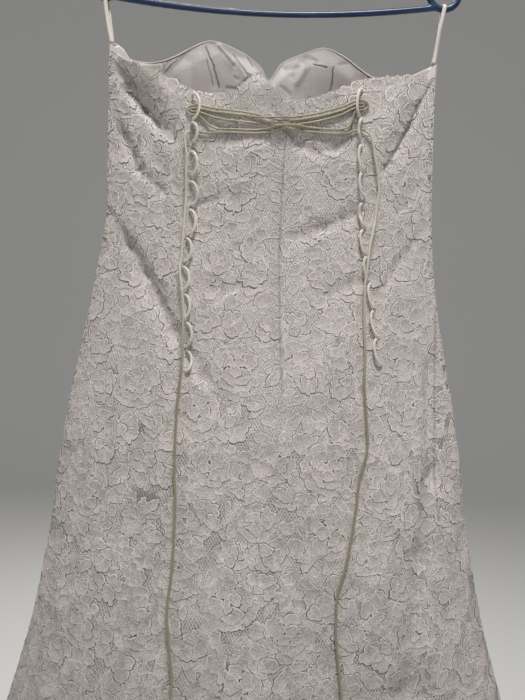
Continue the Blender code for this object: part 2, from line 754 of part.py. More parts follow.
def loop_points(cloth, column, loop):
    """One lacing loop: an arch off the seam, bowed sideways."""
    radius = LOOP_DIAMETER / 2
    start_z = loop.top
    station = back_seam(column)(start_z)
    start_x = skin(-1, station, start_z).x
    points = []
    for step in range(LOOP_SIDES + 1):
        t = step / LOOP_SIDES
        arch = math.sin(math.pi * t)
        x = start_x + loop.slant * t + loop.reach * arch
        z = start_z - loop.drop * t
        out = loop.stand * ((1 + LOOP_SEAT) * arch**LOOP_ROUNDNESS - LOOP_SEAT)
        points.append(Vector((x, cloth.clear_of(x, z, radius) - out, z)))
    return points


def make_lacing():
    """Two columns of loops, the cord laced through the top ones, its two tails and their knots."""
    cloth = Cloth([name for name, _, _ in LACE_BACK_PANELS])
    cord = MATERIALS["cord"]
    for column, loops in (("left", LEFT_LOOPS), ("right", RIGHT_LOOPS)):
        for number, loop in enumerate(loops, 1):
            name = f"lacing_loop_{column}_{number:02d}"
            make_tube(name, loop_points(cloth, column, loop), LOOP_DIAMETER, cord)
    radius = CORD_DIAMETER / 2
    across_back = []
    for x, lift, z in smooth_route([Vector((place.x, place.lift, place.z)) for place in LACING_ROUTE]):
        across_back.append(Vector((x, cloth.clear_of(x, z, radius) - lift - CORD_EASE, z)))
    make_tube("lacing_cord", across_back, CORD_DIAMETER, cord)
    for side, route in (("left", TAIL_LEFT_ROUTE), ("right", TAIL_RIGHT_ROUTE)):
        points = smooth_route([Vector(point) for point in route], TAIL_POINTS, crowding=TAIL_CROWDING)
        make_tube(f"lacing_tail_{side}", points, CORD_DIAMETER, cord)
        make_knot(f"lacing_knot_{side}", points[-1], cord)


def make_knot(name, top, material):
    """A plain rounded knot hanging just under the end of a tail."""
    mesh = bpy.data.meshes.new(name)
    ball = bmesh.new()
    bmesh.ops.create_uvsphere(ball, u_segments=10, v_segments=7, radius=0.5)
    bmesh.ops.scale(ball, vec=(KNOT_WIDTH, KNOT_WIDTH, KNOT_HEIGHT), verts=ball.verts)
    middle = top - Vector((0, 0, KNOT_HEIGHT / 2 + PIECE_GAP))
    bmesh.ops.translate(ball, vec=middle, verts=ball.verts)
    ball.to_mesh(mesh)
    ball.free()
    knot = bpy.data.objects.new(name, mesh)
    mesh.materials.append(material)
    PARTS.objects.link(knot)


# ---------------------------------------------------------------- hanger and its ribbon loops
def bar_height(x):
    return BAR_END_Z - BAR_BOW * (1 - (x / BAR_END_X) ** 2)


def arc_points(middle_x, middle_z, radius, start, end, count):
    """Points of an arc in the hanger's plane, its angles in degrees from +X towards +Z."""
    points = []
    for step in range(count + 1):
        angle = math.radians(start + (end - start) * step / count)
        points.append(Vector((
            middle_x + radius * math.cos(angle), 0, middle_z + radius * math.sin(angle)
        )))
    return points


def arm_points(side):
    """One arm of the hanger, from the neck to the free tip of its notch hook."""
    slope = [Vector((place.x, 0, NECK_Z - place.drop)) for place in SHOULDER]
    shoulder = smooth_route([*slope, Vector((NOTCH_X - NOTCH_RADIUS, 0, NOTCH_Z))], between=4)
    notch = arc_points(NOTCH_X, NOTCH_Z, NOTCH_RADIUS, 180, 360, 9)
    return [Vector((side * point.x, 0, point.z)) for point in shoulder[:-1] + notch]


def make_hanger():
    """One moulded piece: two arms with notch hooks, the bar between them and the hook."""
    plastic = MATERIALS["plastic"]
    hook_radius = HOOK_INNER_RADIUS + HOOK_TUBE / 2
    ring = arc_points(0, -HOOK_INNER_RADIUS, hook_radius, HOOK_START, HOOK_END, 16)
    bend = [Vector((place.x, 0, place.z)) for place in SHANK]
    shank = smooth_route([*bend, ring[0]], between=3)
    spread = [BAR_END_X * (2 * step / BAR_SIDES - 1) for step in range(BAR_SIDES + 1)]
    bar = [Vector((x, 0, bar_height(x))) for x in spread]
    left, right = arm_points(-1), arm_points(1)
    hanger = to_mesh(make_tube("hanger", left[::-1] + right[1:], HANGER_TUBE, plastic))
    joined = [
        to_mesh(make_tube("hook", shank[:-1] + ring, HOOK_TUBE, plastic)),
        to_mesh(make_tube("bar", bar, BAR_TUBE, plastic)),
    ]
    for tip in (left[-1], right[-1], ring[-1]):
        joined.append(make_tip(tip, HANGER_TUBE / 2 + TIP_EASE))
    for index, piece in enumerate(joined):
        union = hanger.modifiers.new(f"join_{index}", "BOOLEAN")
        union.operation = "UNION"
        union.object = piece
        piece.hide_render = True
        piece.display_type = "WIRE"
        PARTS.objects.unlink(piece)
        HELPERS.objects.link(piece)
    hanger.data.materials.clear()
    hanger.data.materials.append(plastic)


def make_tip(place, radius):
    """The rounded end of a tube."""
    mesh = bpy.data.meshes.new("tip")
    ball = bmesh.new()
    bmesh.ops.create_uvsphere(ball, u_segments=12, v_segments=8, radius=radius)
    bmesh.ops.translate(ball, vec=place, verts=ball.verts)
    ball.to_mesh(mesh)
    ball.free()
    tip = bpy.data.objects.new("tip", mesh)
    PARTS.objects.link(tip)
    return tip


def make_ribbon(name, corner_x, corner_z, notch_x):
    """A ribbon loop: up from the corner, over the notch of the hanger and back down."""
    rest = HANGER_TUBE / 2 + RIBBON_EASE
    top_z = NOTCH_Z - NOTCH_RADIUS
    path = [(-RIBBON_FOOT, corner_z)]
    path += [
        (-rest * math.cos(math.pi * step / 8), top_z + rest * math.sin(math.pi * step / 8))
        for step in range(9)
    ]
    path.append((RIBBON_FOOT, corner_z))
    mesh = bpy.data.meshes.new(name)
    strip = bmesh.new()
    last = len(path) - 1
    bmesh.ops.create_grid(strip, x_segments=1, y_segments=last, size=0.5)
    for vert in strip.verts:
        y, z = path[round((vert.co.y + 0.5) * last)]
        rise = min(1.0, (z - corner_z) / (top_z - corner_z))
        middle = corner_x + rise * (notch_x - corner_x)
        vert.co = Vector((middle + vert.co.x * RIBBON_WIDTH, y, z))
    strip.to_mesh(mesh)
    strip.free()
    ribbon = bpy.data.objects.new(name, mesh)
    solidify = ribbon.modifiers.new("wall", "SOLIDIFY")
    solidify.thickness = RIBBON_WALL
    solidify.offset = 1.0
    mesh.materials.append(MATERIALS["ribbon"])
    PARTS.objects.link(ribbon)


# ---------------------------------------------------------------- materials and scene
def make_material(name, colour, roughness, metallic=0.0):
    material = bpy.data.materials.new(name)
    material.use_nodes = True
    shader = material.node_tree.nodes["Principled BSDF"]
    shader.inputs["Base Color"].default_value = (*colour, 1.0)
    shader.inputs["Roughness"].default_value = roughness
    shader.inputs["Metallic"].default_value = metallic
    return material


def make_collection(name):
    collection = bpy.data.collections.new(name)
    bpy.context.scene.collection.children.link(collection)
    return collection


for leftover in list(bpy.data.objects):
    bpy.data.objects.remove(leftover)
PARTS = make_collection("wedding_dress")
HELPERS = make_collection("join_helpers")
MATERIALS = {
    "lace": make_material("ivory_lace", (0.62, 0.59, 0.56), 0.85),
    "satin": make_material("ivory_satin", (0.66, 0.62, 0.60), 0.40),
    "cord": make_material("ivory_cord", (0.72, 0.69, 0.60), 0.45),
    "ribbon": make_material("ivory_ribbon", (0.74, 0.71, 0.63), 0.40),
    "plastic": make_material("navy_plastic", (0.02, 0.06, 0.22), 0.25),
}
make_cloth()
make_lacing()
make_hanger()
make_ribbon("hanger_loop_left", *RIBBON_CORNERS[0], -NOTCH_X)
make_ribbon("hanger_loop_right", *RIBBON_CORNERS[1], NOTCH_X)
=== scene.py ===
"""Looks of the lace wedding dress: lace, satin, lacing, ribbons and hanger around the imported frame."""
import math
import random
from collections import namedtuple
from functools import partial

import bmesh
import bpy
import numpy as np
from bpy.props import FloatProperty, FloatVectorProperty, IntProperty, PointerProperty
from mathutils import Matrix, Vector


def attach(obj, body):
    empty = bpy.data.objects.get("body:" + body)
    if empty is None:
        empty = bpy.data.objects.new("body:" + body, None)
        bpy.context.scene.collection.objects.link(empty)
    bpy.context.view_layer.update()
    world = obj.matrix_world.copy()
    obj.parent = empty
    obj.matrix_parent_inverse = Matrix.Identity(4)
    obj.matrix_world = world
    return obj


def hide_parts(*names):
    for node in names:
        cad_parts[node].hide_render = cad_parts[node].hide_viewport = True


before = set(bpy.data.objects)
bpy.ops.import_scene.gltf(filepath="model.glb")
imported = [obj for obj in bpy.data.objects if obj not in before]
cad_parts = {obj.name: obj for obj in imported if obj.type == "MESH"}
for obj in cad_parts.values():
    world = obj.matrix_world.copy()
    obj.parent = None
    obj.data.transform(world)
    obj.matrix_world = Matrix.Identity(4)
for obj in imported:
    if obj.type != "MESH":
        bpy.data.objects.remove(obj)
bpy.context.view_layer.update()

bl_info = {
    "name": "Lace wedding dress",
    "version": (1, 0, 0),
    "blender": (4, 5, 0),
    "location": "View3D > Sidebar > Dress",
    "description": "Corded lace over satin, with lacing, ribbon loops and hanger, around the packed frame",
    "category": "Object",
}


def rows_of(kind, table):
    """A table's rows, with their columns named."""
    return [kind(*row) for row in table]


def stretches(kind, lines):
    """A row for each stretch of these lines: its two ends, then the rest of what its first end says."""
    return [
        kind(*start[:2], *end[:2], *start[2:])
        for line in lines for start, end in zip(line, line[1:])
    ]


# ================================================================ sizes of the cloth's skin
HEM_Z = -1.46
TOP_Z = -0.2
TOP_HALF_WIDTH = 0.188
LACE_WALL = 0.0012
SATIN_DROP = 0.0015
SATIN_HEM_RISE = 0.02
UNDER_CUP_GAP = 0.0009
CORD_DIAMETER = 0.0028
LOOP_DIAMETER = 0.003
PIECE_GAP = 0.0004
CORD_EASE = 0.0003

Section = namedtuple("Section", "z shift half_width back_depth front_depth roundness flute")
SECTIONS = rows_of(Section, (
    (-1.46, 0.014, 0.4, 0.178, 0.183, 1.0, 0.03),
    (-1.28, 0.0125, 0.355, 0.15, 0.155, 0.95, 0.023),
    (-1.1, 0.0108, 0.31, 0.122, 0.127, 0.85, 0.015),
    (-0.99, 0.0092, 0.2815, 0.105, 0.11, 0.75, 0.009),
    (-0.9, 0.0068, 0.258, 0.092, 0.096, 0.64, 0.005),
    (-0.8, 0.0035, 0.2395, 0.078, 0.084, 0.52, 0.002),
    (-0.72, 0.0015, 0.2305, 0.07, 0.076, 0.42, 0.0),
    (-0.64, 0.0005, 0.2185, 0.06, 0.068, 0.3, 0.0),
    (-0.56, 0.0, 0.203, 0.048, 0.06, 0.15, 0.0),
    (-0.5, 0.0005, 0.1935, 0.04, 0.054, 0.0, 0.0),
    (-0.44, 0.0022, 0.1868, 0.036, 0.052, 0.0, 0.0),
    (-0.38, 0.0012, 0.1865, 0.04, 0.064, 0.0, 0.0),
    (-0.31, 0.0005, 0.1868, 0.043, 0.074, 0.0, 0.0),
    (-0.25, 0.0, 0.188, 0.039, 0.06, 0.0, 0.0),
    (-0.19, 0.0, 0.188, 0.034, 0.05, 0.0, 0.0),
))
Lining = namedtuple("Lining", "z side back front")
LINING = rows_of(Lining, (
    (-1.46, 0.012, 0.012, 0.012), (-0.9, 0.01, 0.008, 0.008), (-0.6, 0.006, 0.003, 0.005),
    (-0.45, 0.005, 0.0022, 0.005), (-0.3, 0.005, 0.0024, 0.0082), (-0.19, 0.005, 0.0024, 0.0034),
))
LINING_LEAST = 0.0012
LINING_EASE = 0.022

EdgePoint = namedtuple("EdgePoint", "x z")
BACK_EDGE = rows_of(EdgePoint, (
    (-0.188, -0.2475), (-0.168, -0.262), (-0.119, -0.285), (-0.084, -0.304), (-0.06, -0.306),
    (-0.038, -0.302), (-0.021, -0.287), (-0.004, -0.296), (0.021, -0.312), (0.048, -0.3075),
    (0.082, -0.293), (0.101, -0.283), (0.133, -0.2755), (0.169, -0.269), (0.188, -0.261),
))
FRONT_EDGE = rows_of(EdgePoint, (
    (-0.188, -0.2425), (-0.1795, -0.2405), (-0.1705, -0.2525), (-0.156, -0.253), (-0.139, -0.249),
    (-0.122, -0.2405), (-0.088, -0.2195), (-0.071, -0.215), (-0.04, -0.224), (-0.015, -0.24),
    (-0.004, -0.255), (0.01, -0.237), (0.038, -0.224), (0.063, -0.218), (0.088, -0.229),
    (0.123, -0.254), (0.154, -0.261), (0.188, -0.2535),
))
UNDER_CUP_EDGE = rows_of(EdgePoint, (
    (-0.188, -0.29), (-0.132, -0.305), (-0.075, -0.372), (-0.004, -0.335), (0.067, -0.372),
    (0.132, -0.31), (0.188, -0.29),
))
BackSeams = namedtuple("BackSeams", "z left centre right")
BACK_SEAMS = rows_of(BackSeams, (
    (-1.46, 0.362, 0.516, 0.667), (-0.75, 0.336, 0.537, 0.753), (-0.6, 0.32, 0.5475, 0.785),
    (-0.55, 0.299, 0.55, 0.793), (-0.5, 0.261, 0.554, 0.801), (-0.45, 0.262, 0.5495, 0.781),
    (-0.4, 0.262, 0.549, 0.776), (-0.31, 0.265, 0.549, 0.7685), (-0.25, 0.266, 0.5475, 0.765),
))
FRONT_SEAM = 0.27
CUP_SEAM = 0.15
CUP_CENTRE = 0.489

Flute = namedtuple("Flute", "count share phase")
FLUTES = rows_of(Flute, (
    (5, 0.6, 0.6), (8, 0.4, -0.9),
))
FLUTE_SPREAD = 0.6

CUP_X = 0.086
CUP_Z = -0.3
CUP_REACH_X = 0.06
CUP_REACH_Z = 0.058
CUP_SWELL = 0.026

# soft drape folds, as in the frame: troughs are below zero, ridges above it
Fold = namedtuple("Fold", "side x1 z1 x2 z2 width depth")
FOLDS = rows_of(Fold, (
    (-1, -0.18, -0.262, -0.108, -0.36, 0.012, -0.0032),
    (-1, -0.176, -0.3, -0.1, -0.425, 0.012, -0.0026),
    (-1, -0.16, -0.262, -0.085, -0.352, 0.012, 0.0026),
    (-1, -0.176, -0.45, -0.09, -0.585, 0.014, -0.0036),
    (-1, 0.178, -0.282, 0.132, -0.385, 0.01, -0.0024),
    (-1, 0.16, -0.28, 0.112, -0.375, 0.012, 0.0025),
    (-1, 0.022, -0.345, 0.088, -0.36, 0.011, -0.003),
    (-1, -0.06, -0.35, 0.01, -0.352, 0.011, -0.0018),
    (-1, 0.15, -0.56, 0.175, -0.72, 0.022, -0.004),
    (-1, -0.13, -0.64, -0.15, -0.86, 0.026, -0.004),
    (1, -0.176, -0.262, -0.115, -0.36, 0.014, -0.0045),
    (1, 0.176, -0.275, 0.112, -0.37, 0.014, -0.0045),
    (1, -0.12, -0.45, -0.07, -0.6, 0.02, -0.004),
    (1, 0.13, -0.44, 0.08, -0.58, 0.02, -0.004),
))
# painted shade where the lace is pressed into a sharp crease, and in a few broad shaded patches; each point
# of a line gives x, z, and then the width across the line and how dark it is, up to the next point
CreaseLine = namedtuple("CreaseLine", "x1 z1 x2 z2 width dark")
BACK_SHADE_LINES = stretches(CreaseLine, (
    ((0.1885, -0.264, 0.003, 0.5), (0.1682, -0.3002, 0.0032, 0.55), (0.1569, -0.3267, 0.0032, 0.55),
     (0.1421, -0.3568, 0.003, 0.4), (0.129, -0.379)),
    ((-0.1885, -0.257, 0.01, 0.62), (-0.1768, -0.2775, 0.01, 0.6),
     (-0.1618, -0.2975, 0.0074, 0.48), (-0.142, -0.32, 0.005, 0.3), (-0.127, -0.337)),
    ((-0.188, -0.3121, 0.0036, 0.42), (-0.167, -0.3495, 0.004, 0.36),
     (-0.146, -0.3868, 0.004, 0.25), (-0.1217, -0.4121)),
    ((-0.185, -0.4371, 0.01, 0.16), (-0.1562, -0.4715, 0.01, 0.13),
     (-0.132, -0.5056, 0.009, 0.1), (-0.0963, -0.5722)),
    ((0.021, -0.348, 0.006, 0.16), (0.034, -0.36, 0.007, 0.2), (0.056, -0.367, 0.006, 0.12),
     (0.09, -0.35)),
    ((0.0179, -0.3462, 0.0024, 0.36), (0.016, -0.3833, 0.0024, 0.36), (0.0152, -0.4214, 0.0024, 0.36),
     (0.0145, -0.4823, 0.0024, 0.36), (0.0167, -0.5322, 0.0024, 0.36), (0.0199, -0.5976, 0.0024, 0.36),
     (0.0226, -0.6319)),
    ((0.0117, -0.4324, 0.011, 0.1), (0.011, -0.5102, 0.011, 0.1), (0.016, -0.63)),
    ((0.1971, -0.4793, 0.0026, 0.38), (0.1969, -0.5749, 0.0026, 0.38), (0.1967, -0.6373, 0.0026, 0.38),
     (0.1979, -0.7151, 0.0026, 0.38), (0.2028, -0.7701)),
    ((-0.185, -0.2628, 0.034, 0.36), (-0.1389, -0.2902)),
    ((-0.1761, -0.2983, 0.026, 0.18), (-0.1656, -0.3483)),
    ((-0.1676, -0.4588, 0.024, 0.2), (-0.16, -0.4932)),
    ((-0.1242, -0.305, 0.024, 0.2), (-0.103, -0.3173)),
    ((-0.0392, -0.3141, 0.028, 0.34), (0.0057, -0.3121)),
    ((0.0212, -0.3157, 0.026, 0.22), (0.0653, -0.3094)),
))
# painted shade in open places of the skirt's net, through which its darker, shaded lining shows: x, z, width,
# dark
NET_GAP_SHADE = stretches(CreaseLine, (
    ((-0.1666, -0.6202, 0.018, 0.55), (-0.1258, -0.6336)),
    ((-0.1558, -0.6768, 0.014, 0.5), (-0.1232, -0.679)),
    ((-0.1387, -0.708, 0.014, 0.5), (-0.1214, -0.711)),
    ((-0.1329, -0.748, 0.016, 0.5), (-0.1124, -0.7527)),
    ((-0.0563, -0.6434, 0.016, 0.5), (-0.0362, -0.6575)),
    ((0.2044, -0.6226, 0.014, 0.55), (0.2212, -0.6247)),
    ((0.2046, -0.6598, 0.014, 0.55), (0.2249, -0.6648)),
    ((0.2061, -0.6878, 0.014, 0.5), (0.2183, -0.7029)),
    ((0.2062, -0.71, 0.012, 0.5), (0.2129, -0.7292)),
    ((0.1789, -0.7382, 0.014, 0.5), (0.1831, -0.788)),
    ((0.1785, -0.8214, 0.014, 0.5), (0.1809, -0.8424)),
    ((0.1856, -0.89, 0.016, 0.38), (0.1877, -0.9383)),
    ((0.14, -0.8999, 0.02, 0.38), (0.158, -0.9389)),
))
STATION_STEP = 0.003
HEIGHT_STEP = 0.0015
FINE_STATIONS = 401
FOLD_FADE = 0.14
FOLD_END_SHARE = 0.35

# sharper creases; each point of a line gives x, z, width, lean and depth, and lean
# makes the side to the left of the line the soft one
Crease = namedtuple("Crease", "side x1 z1 x2 z2 width lean depth")
CREASES = stretches(partial(Crease, -1), (
    ((-0.1875, -0.256, 0.0058, -0.25, -0.007), (-0.1758, -0.2754, 0.0058, -0.25, -0.008),
     (-0.1603, -0.2959, 0.006, -0.25, -0.008), (-0.1413, -0.3184, 0.0056, -0.25, -0.0062),
     (-0.1254, -0.3362, 0.005, -0.25, -0.0036), (-0.109, -0.354)),
    ((-0.1868, -0.3121, 0.0055, -0.35, -0.0048), (-0.1656, -0.3495, 0.006, -0.35, -0.0056),
     (-0.145, -0.3868, 0.0055, -0.3, -0.0034), (-0.1207, -0.4121)),
    ((-0.183, -0.439, 0.007, -0.3, -0.0058), (-0.1562, -0.4715, 0.0074, -0.3, -0.0052),
     (-0.132, -0.5056, 0.0072, -0.25, -0.0044), (-0.1139, -0.5393, 0.0072, -0.2, -0.0042),
     (-0.0963, -0.5722, 0.0074, -0.1, -0.0034), (-0.0793, -0.5979, 0.0078, 0.0, -0.0028),
     (-0.0628, -0.62, 0.0075, 0.0, -0.0026), (-0.0387, -0.6491)),
    ((0.1867, -0.2668, 0.0026, 0.3, -0.003), (0.1682, -0.3002, 0.0026, 0.3, -0.0032),
     (0.1569, -0.3267, 0.0026, 0.3, -0.0032), (0.1421, -0.3568, 0.0026, 0.3, -0.0026),
     (0.1254, -0.3832)),
    ((0.1902, -0.3632, 0.0034, 0.2, -0.002), (0.168, -0.399, 0.0034, 0.2, -0.0016), (0.1416, -0.4321)),
    ((0.1876, -0.4232, 0.005, 0.2, -0.003), (0.1584, -0.4706, 0.005, 0.2, -0.0026), (0.1275, -0.5204)),
    ((0.021, -0.345, 0.0055, -0.3, -0.0036), (0.034, -0.3585, 0.006, -0.3, -0.0034),
     (0.052, -0.367, 0.005, 0.0, -0.002), (0.073, -0.361, 0.005, 0.0, -0.0016),
     (0.0946, -0.34)),
    ((0.0266, -0.465, 0.007, 0.2, -0.0026), (0.0596, -0.4525, 0.007, 0.2, -0.003), (0.0985, -0.4332)),
    ((0.0618, -0.5303, 0.007, 0.0, -0.0026), (0.0951, -0.512, 0.006, 0.0, -0.002), (0.1179, -0.5028)),
    ((-0.0801, -0.4289, 0.006, 0.0, -0.0018), (-0.0358, -0.4175)),
    ((-0.0595, -0.5235, 0.006, 0.0, -0.0022), (-0.021, -0.5202)),
    ((-0.07, -0.37, 0.006, 0.0, -0.0012), (-0.03, -0.356)),
    ((0.032, -0.6402, 0.022, 0.0, 0.0028), (0.0853, -0.5845)),
    ((-0.0118, -0.6203, 0.024, 0.0, 0.0022), (0.0342, -0.714)),
    ((0.189, -0.6, 0.009, 0.4, -0.007), (0.188, -0.7257, 0.012, 0.3, -0.007),
     (0.1749, -0.8107, 0.015, 0.0, -0.008), (0.156, -0.9502, 0.018, 0.0, -0.008),
     (0.162, -1.2)),
    ((-0.0469, -0.8102, 0.015, 0.0, -0.004), (-0.0562, -0.9493, 0.018, 0.0, -0.006),
     (-0.07, -1.2)),
)) + stretches(partial(Crease, 1), (
    ((-0.173, -0.33, 0.008, 0.3, -0.004), (-0.12, -0.42)),
    ((0.173, -0.34, 0.008, -0.3, -0.004), (0.125, -0.43)),
    ((-0.09, -0.43, 0.007, 0.0, -0.0026), (-0.02, -0.448)),
    ((0.08, -0.442, 0.007, 0.0, -0.0026), (0.025, -0.456)),
    ((-0.15, -0.5, 0.008, 0.2, -0.0034), (-0.1, -0.61)),
    ((0.156, -0.52, 0.009, -0.2, -0.0034), (0.108, -0.63)),
    ((-0.18, -0.62, 0.014, 0.0, -0.007), (-0.17, -0.88)),
    ((0.17, -0.66, 0.015, 0.0, -0.006), (0.16, -0.96)),
))

# soft gathers of the satin cup linings, seen from inside the cups: x, z, width, lean, depth
CUP_CREASES = stretches(partial(Crease, 1), (
    ((-0.1296, -0.2602, 0.003, 0.4, 0.0015), (-0.1016, -0.2279)),
    ((-0.071, -0.22, 0.006, 0.0, -0.0014), (-0.0715, -0.262)),
    ((-0.0655, -0.22, 0.004, -0.3, 0.0016), (-0.05, -0.24)),
    ((-0.0423, -0.2364, 0.0035, -0.2, 0.0014), (-0.0335, -0.253)),
    ((0.0418, -0.243, 0.004, 0.3, 0.0014), (0.0303, -0.2598)),
    ((0.025, -0.252, 0.0045, 0.0, -0.0012), (0.036, -0.235)),
    ((0.11, -0.248, 0.005, 0.0, 0.0012), (0.15, -0.268)),
    ((-0.1, -0.242, 0.006, 0.0, -0.0014), (-0.096, -0.29)),
    ((0.101, -0.256, 0.006, 0.0, -0.0014), (0.09, -0.3)),
))
# painted shade along their seams, sharp creases and dents: x, z, width, dark
CUP_SHADE_LINES = stretches(CreaseLine, (
    ((-0.1274, -0.2575, 0.0018, 0.84), (-0.1163, -0.2441, 0.0016, 0.79), (-0.1021, -0.2283)),
    ((-0.1353, -0.2556, 0.01, 0.37), (-0.1153, -0.237)),
    ((-0.0817, -0.2236, 0.0015, 0.75), (-0.0716, -0.2435, 0.0015, 0.79), (-0.0651, -0.2654)),
    ((-0.08, -0.2383, 0.0012, 0.53), (-0.0715, -0.264)),
    ((-0.066, -0.2231, 0.0034, 0.59), (-0.056, -0.232, 0.0046, 0.7), (-0.048, -0.241)),
    ((-0.064, -0.2215, 0.008, 0.33), (-0.039, -0.23)),
    ((-0.0479, -0.2295, 0.0032, 0.59), (-0.0305, -0.2513)),
    ((-0.0346, -0.2273, 0.0024, 0.55), (-0.0244, -0.2405)),
    ((-0.0542, -0.266, 0.004, 0.63), (-0.0408, -0.2654, 0.004, 0.59),
     (-0.0264, -0.2532, 0.0036, 0.44), (-0.0119, -0.2473)),
    ((-0.046, -0.2546, 0.0038, 0.36), (-0.0413, -0.2558)),
    ((-0.0233, -0.2358, 0.005, 0.27), (-0.0118, -0.2513)),
    ((0.05, -0.2379, 0.0016, 0.75), (0.0665, -0.2406)),
    ((0.0743, -0.24, 0.0016, 0.79), (0.0734, -0.2579, 0.0016, 0.7), (0.0708, -0.269)),
    ((0.0161, -0.2424, 0.0058, 0.37), (0.0307, -0.24)),
    ((0.043, -0.242, 0.0066, 0.38), (0.0316, -0.2605)),
    ((0.0398, -0.229, 0.0052, 0.36), (0.0522, -0.2322)),
    ((0.0815, -0.237, 0.0046, 0.33), (0.0939, -0.2344)),
    ((0.0959, -0.2287, 0.0022, 0.62), (0.1093, -0.2437, 0.0022, 0.62), (0.1204, -0.2596)),
    ((0.0108, -0.2629, 0.004, 0.33), (0.0235, -0.2717)),
    ((0.0469, -0.2741, 0.004, 0.31), (0.0477, -0.2764)),
    ((0.0006, -0.2531, 0.0026, 0.32), (0.0123, -0.2378)),
))
CUP_LINE_WANDER = 0.0036
SEAM_GROOVE_DEPTH = 0.0005
SEAM_GROOVE_WIDTH = 0.004
SIDE_GROOVE_SHARE = 0.6

# lacing
Loop = namedtuple("Loop", "top drop reach slant stand")
LEFT_LOOPS = rows_of(Loop, (
    (-0.308, 0.028, 0.0085, 0.001, 0.0062), (-0.34, 0.0205, 0.0065, 0.002, 0.0062),
    (-0.371, 0.026, 0.0075, 0.001, 0.003), (-0.404, 0.025, 0.008, 0.002, 0.003),
    (-0.435, 0.027, 0.0075, 0.0, 0.003), (-0.4675, 0.025, 0.007, -0.001, 0.003),
    (-0.499, 0.025, 0.008, 0.001, 0.003), (-0.53, 0.026, 0.007, 0.0, 0.003),
    (-0.561, 0.026, 0.007, 0.0, 0.003), (-0.591, 0.022, 0.0065, 0.001, 0.003),
))
RIGHT_LOOPS = rows_of(Loop, (
    (-0.295, 0.0295, -0.005, -0.002, 0.0062), (-0.3285, 0.02, -0.0035, -0.001, 0.0062),
    (-0.357, 0.027, -0.005, 0.003, 0.003), (-0.388, 0.025, -0.0045, 0.004, 0.003),
    (-0.421, 0.025, -0.005, 0.005, 0.003), (-0.4505, 0.026, -0.0052, 0.005, 0.003),
    (-0.48, 0.026, -0.0055, 0.004, 0.003), (-0.5095, 0.027, -0.0055, 0.005, 0.003),
    (-0.54, 0.028, -0.0055, 0.006, 0.003), (-0.571, 0.028, -0.006, 0.006, 0.003),
))
LOOP_STEPS = 20
LOOP_ROUNDNESS = 0.6
LOOP_WIDE, LOOP_THIN = 1.26, 0.84
LOOP_GROOVE, LOOP_GROOVE_TURN = 0.22, 2.2

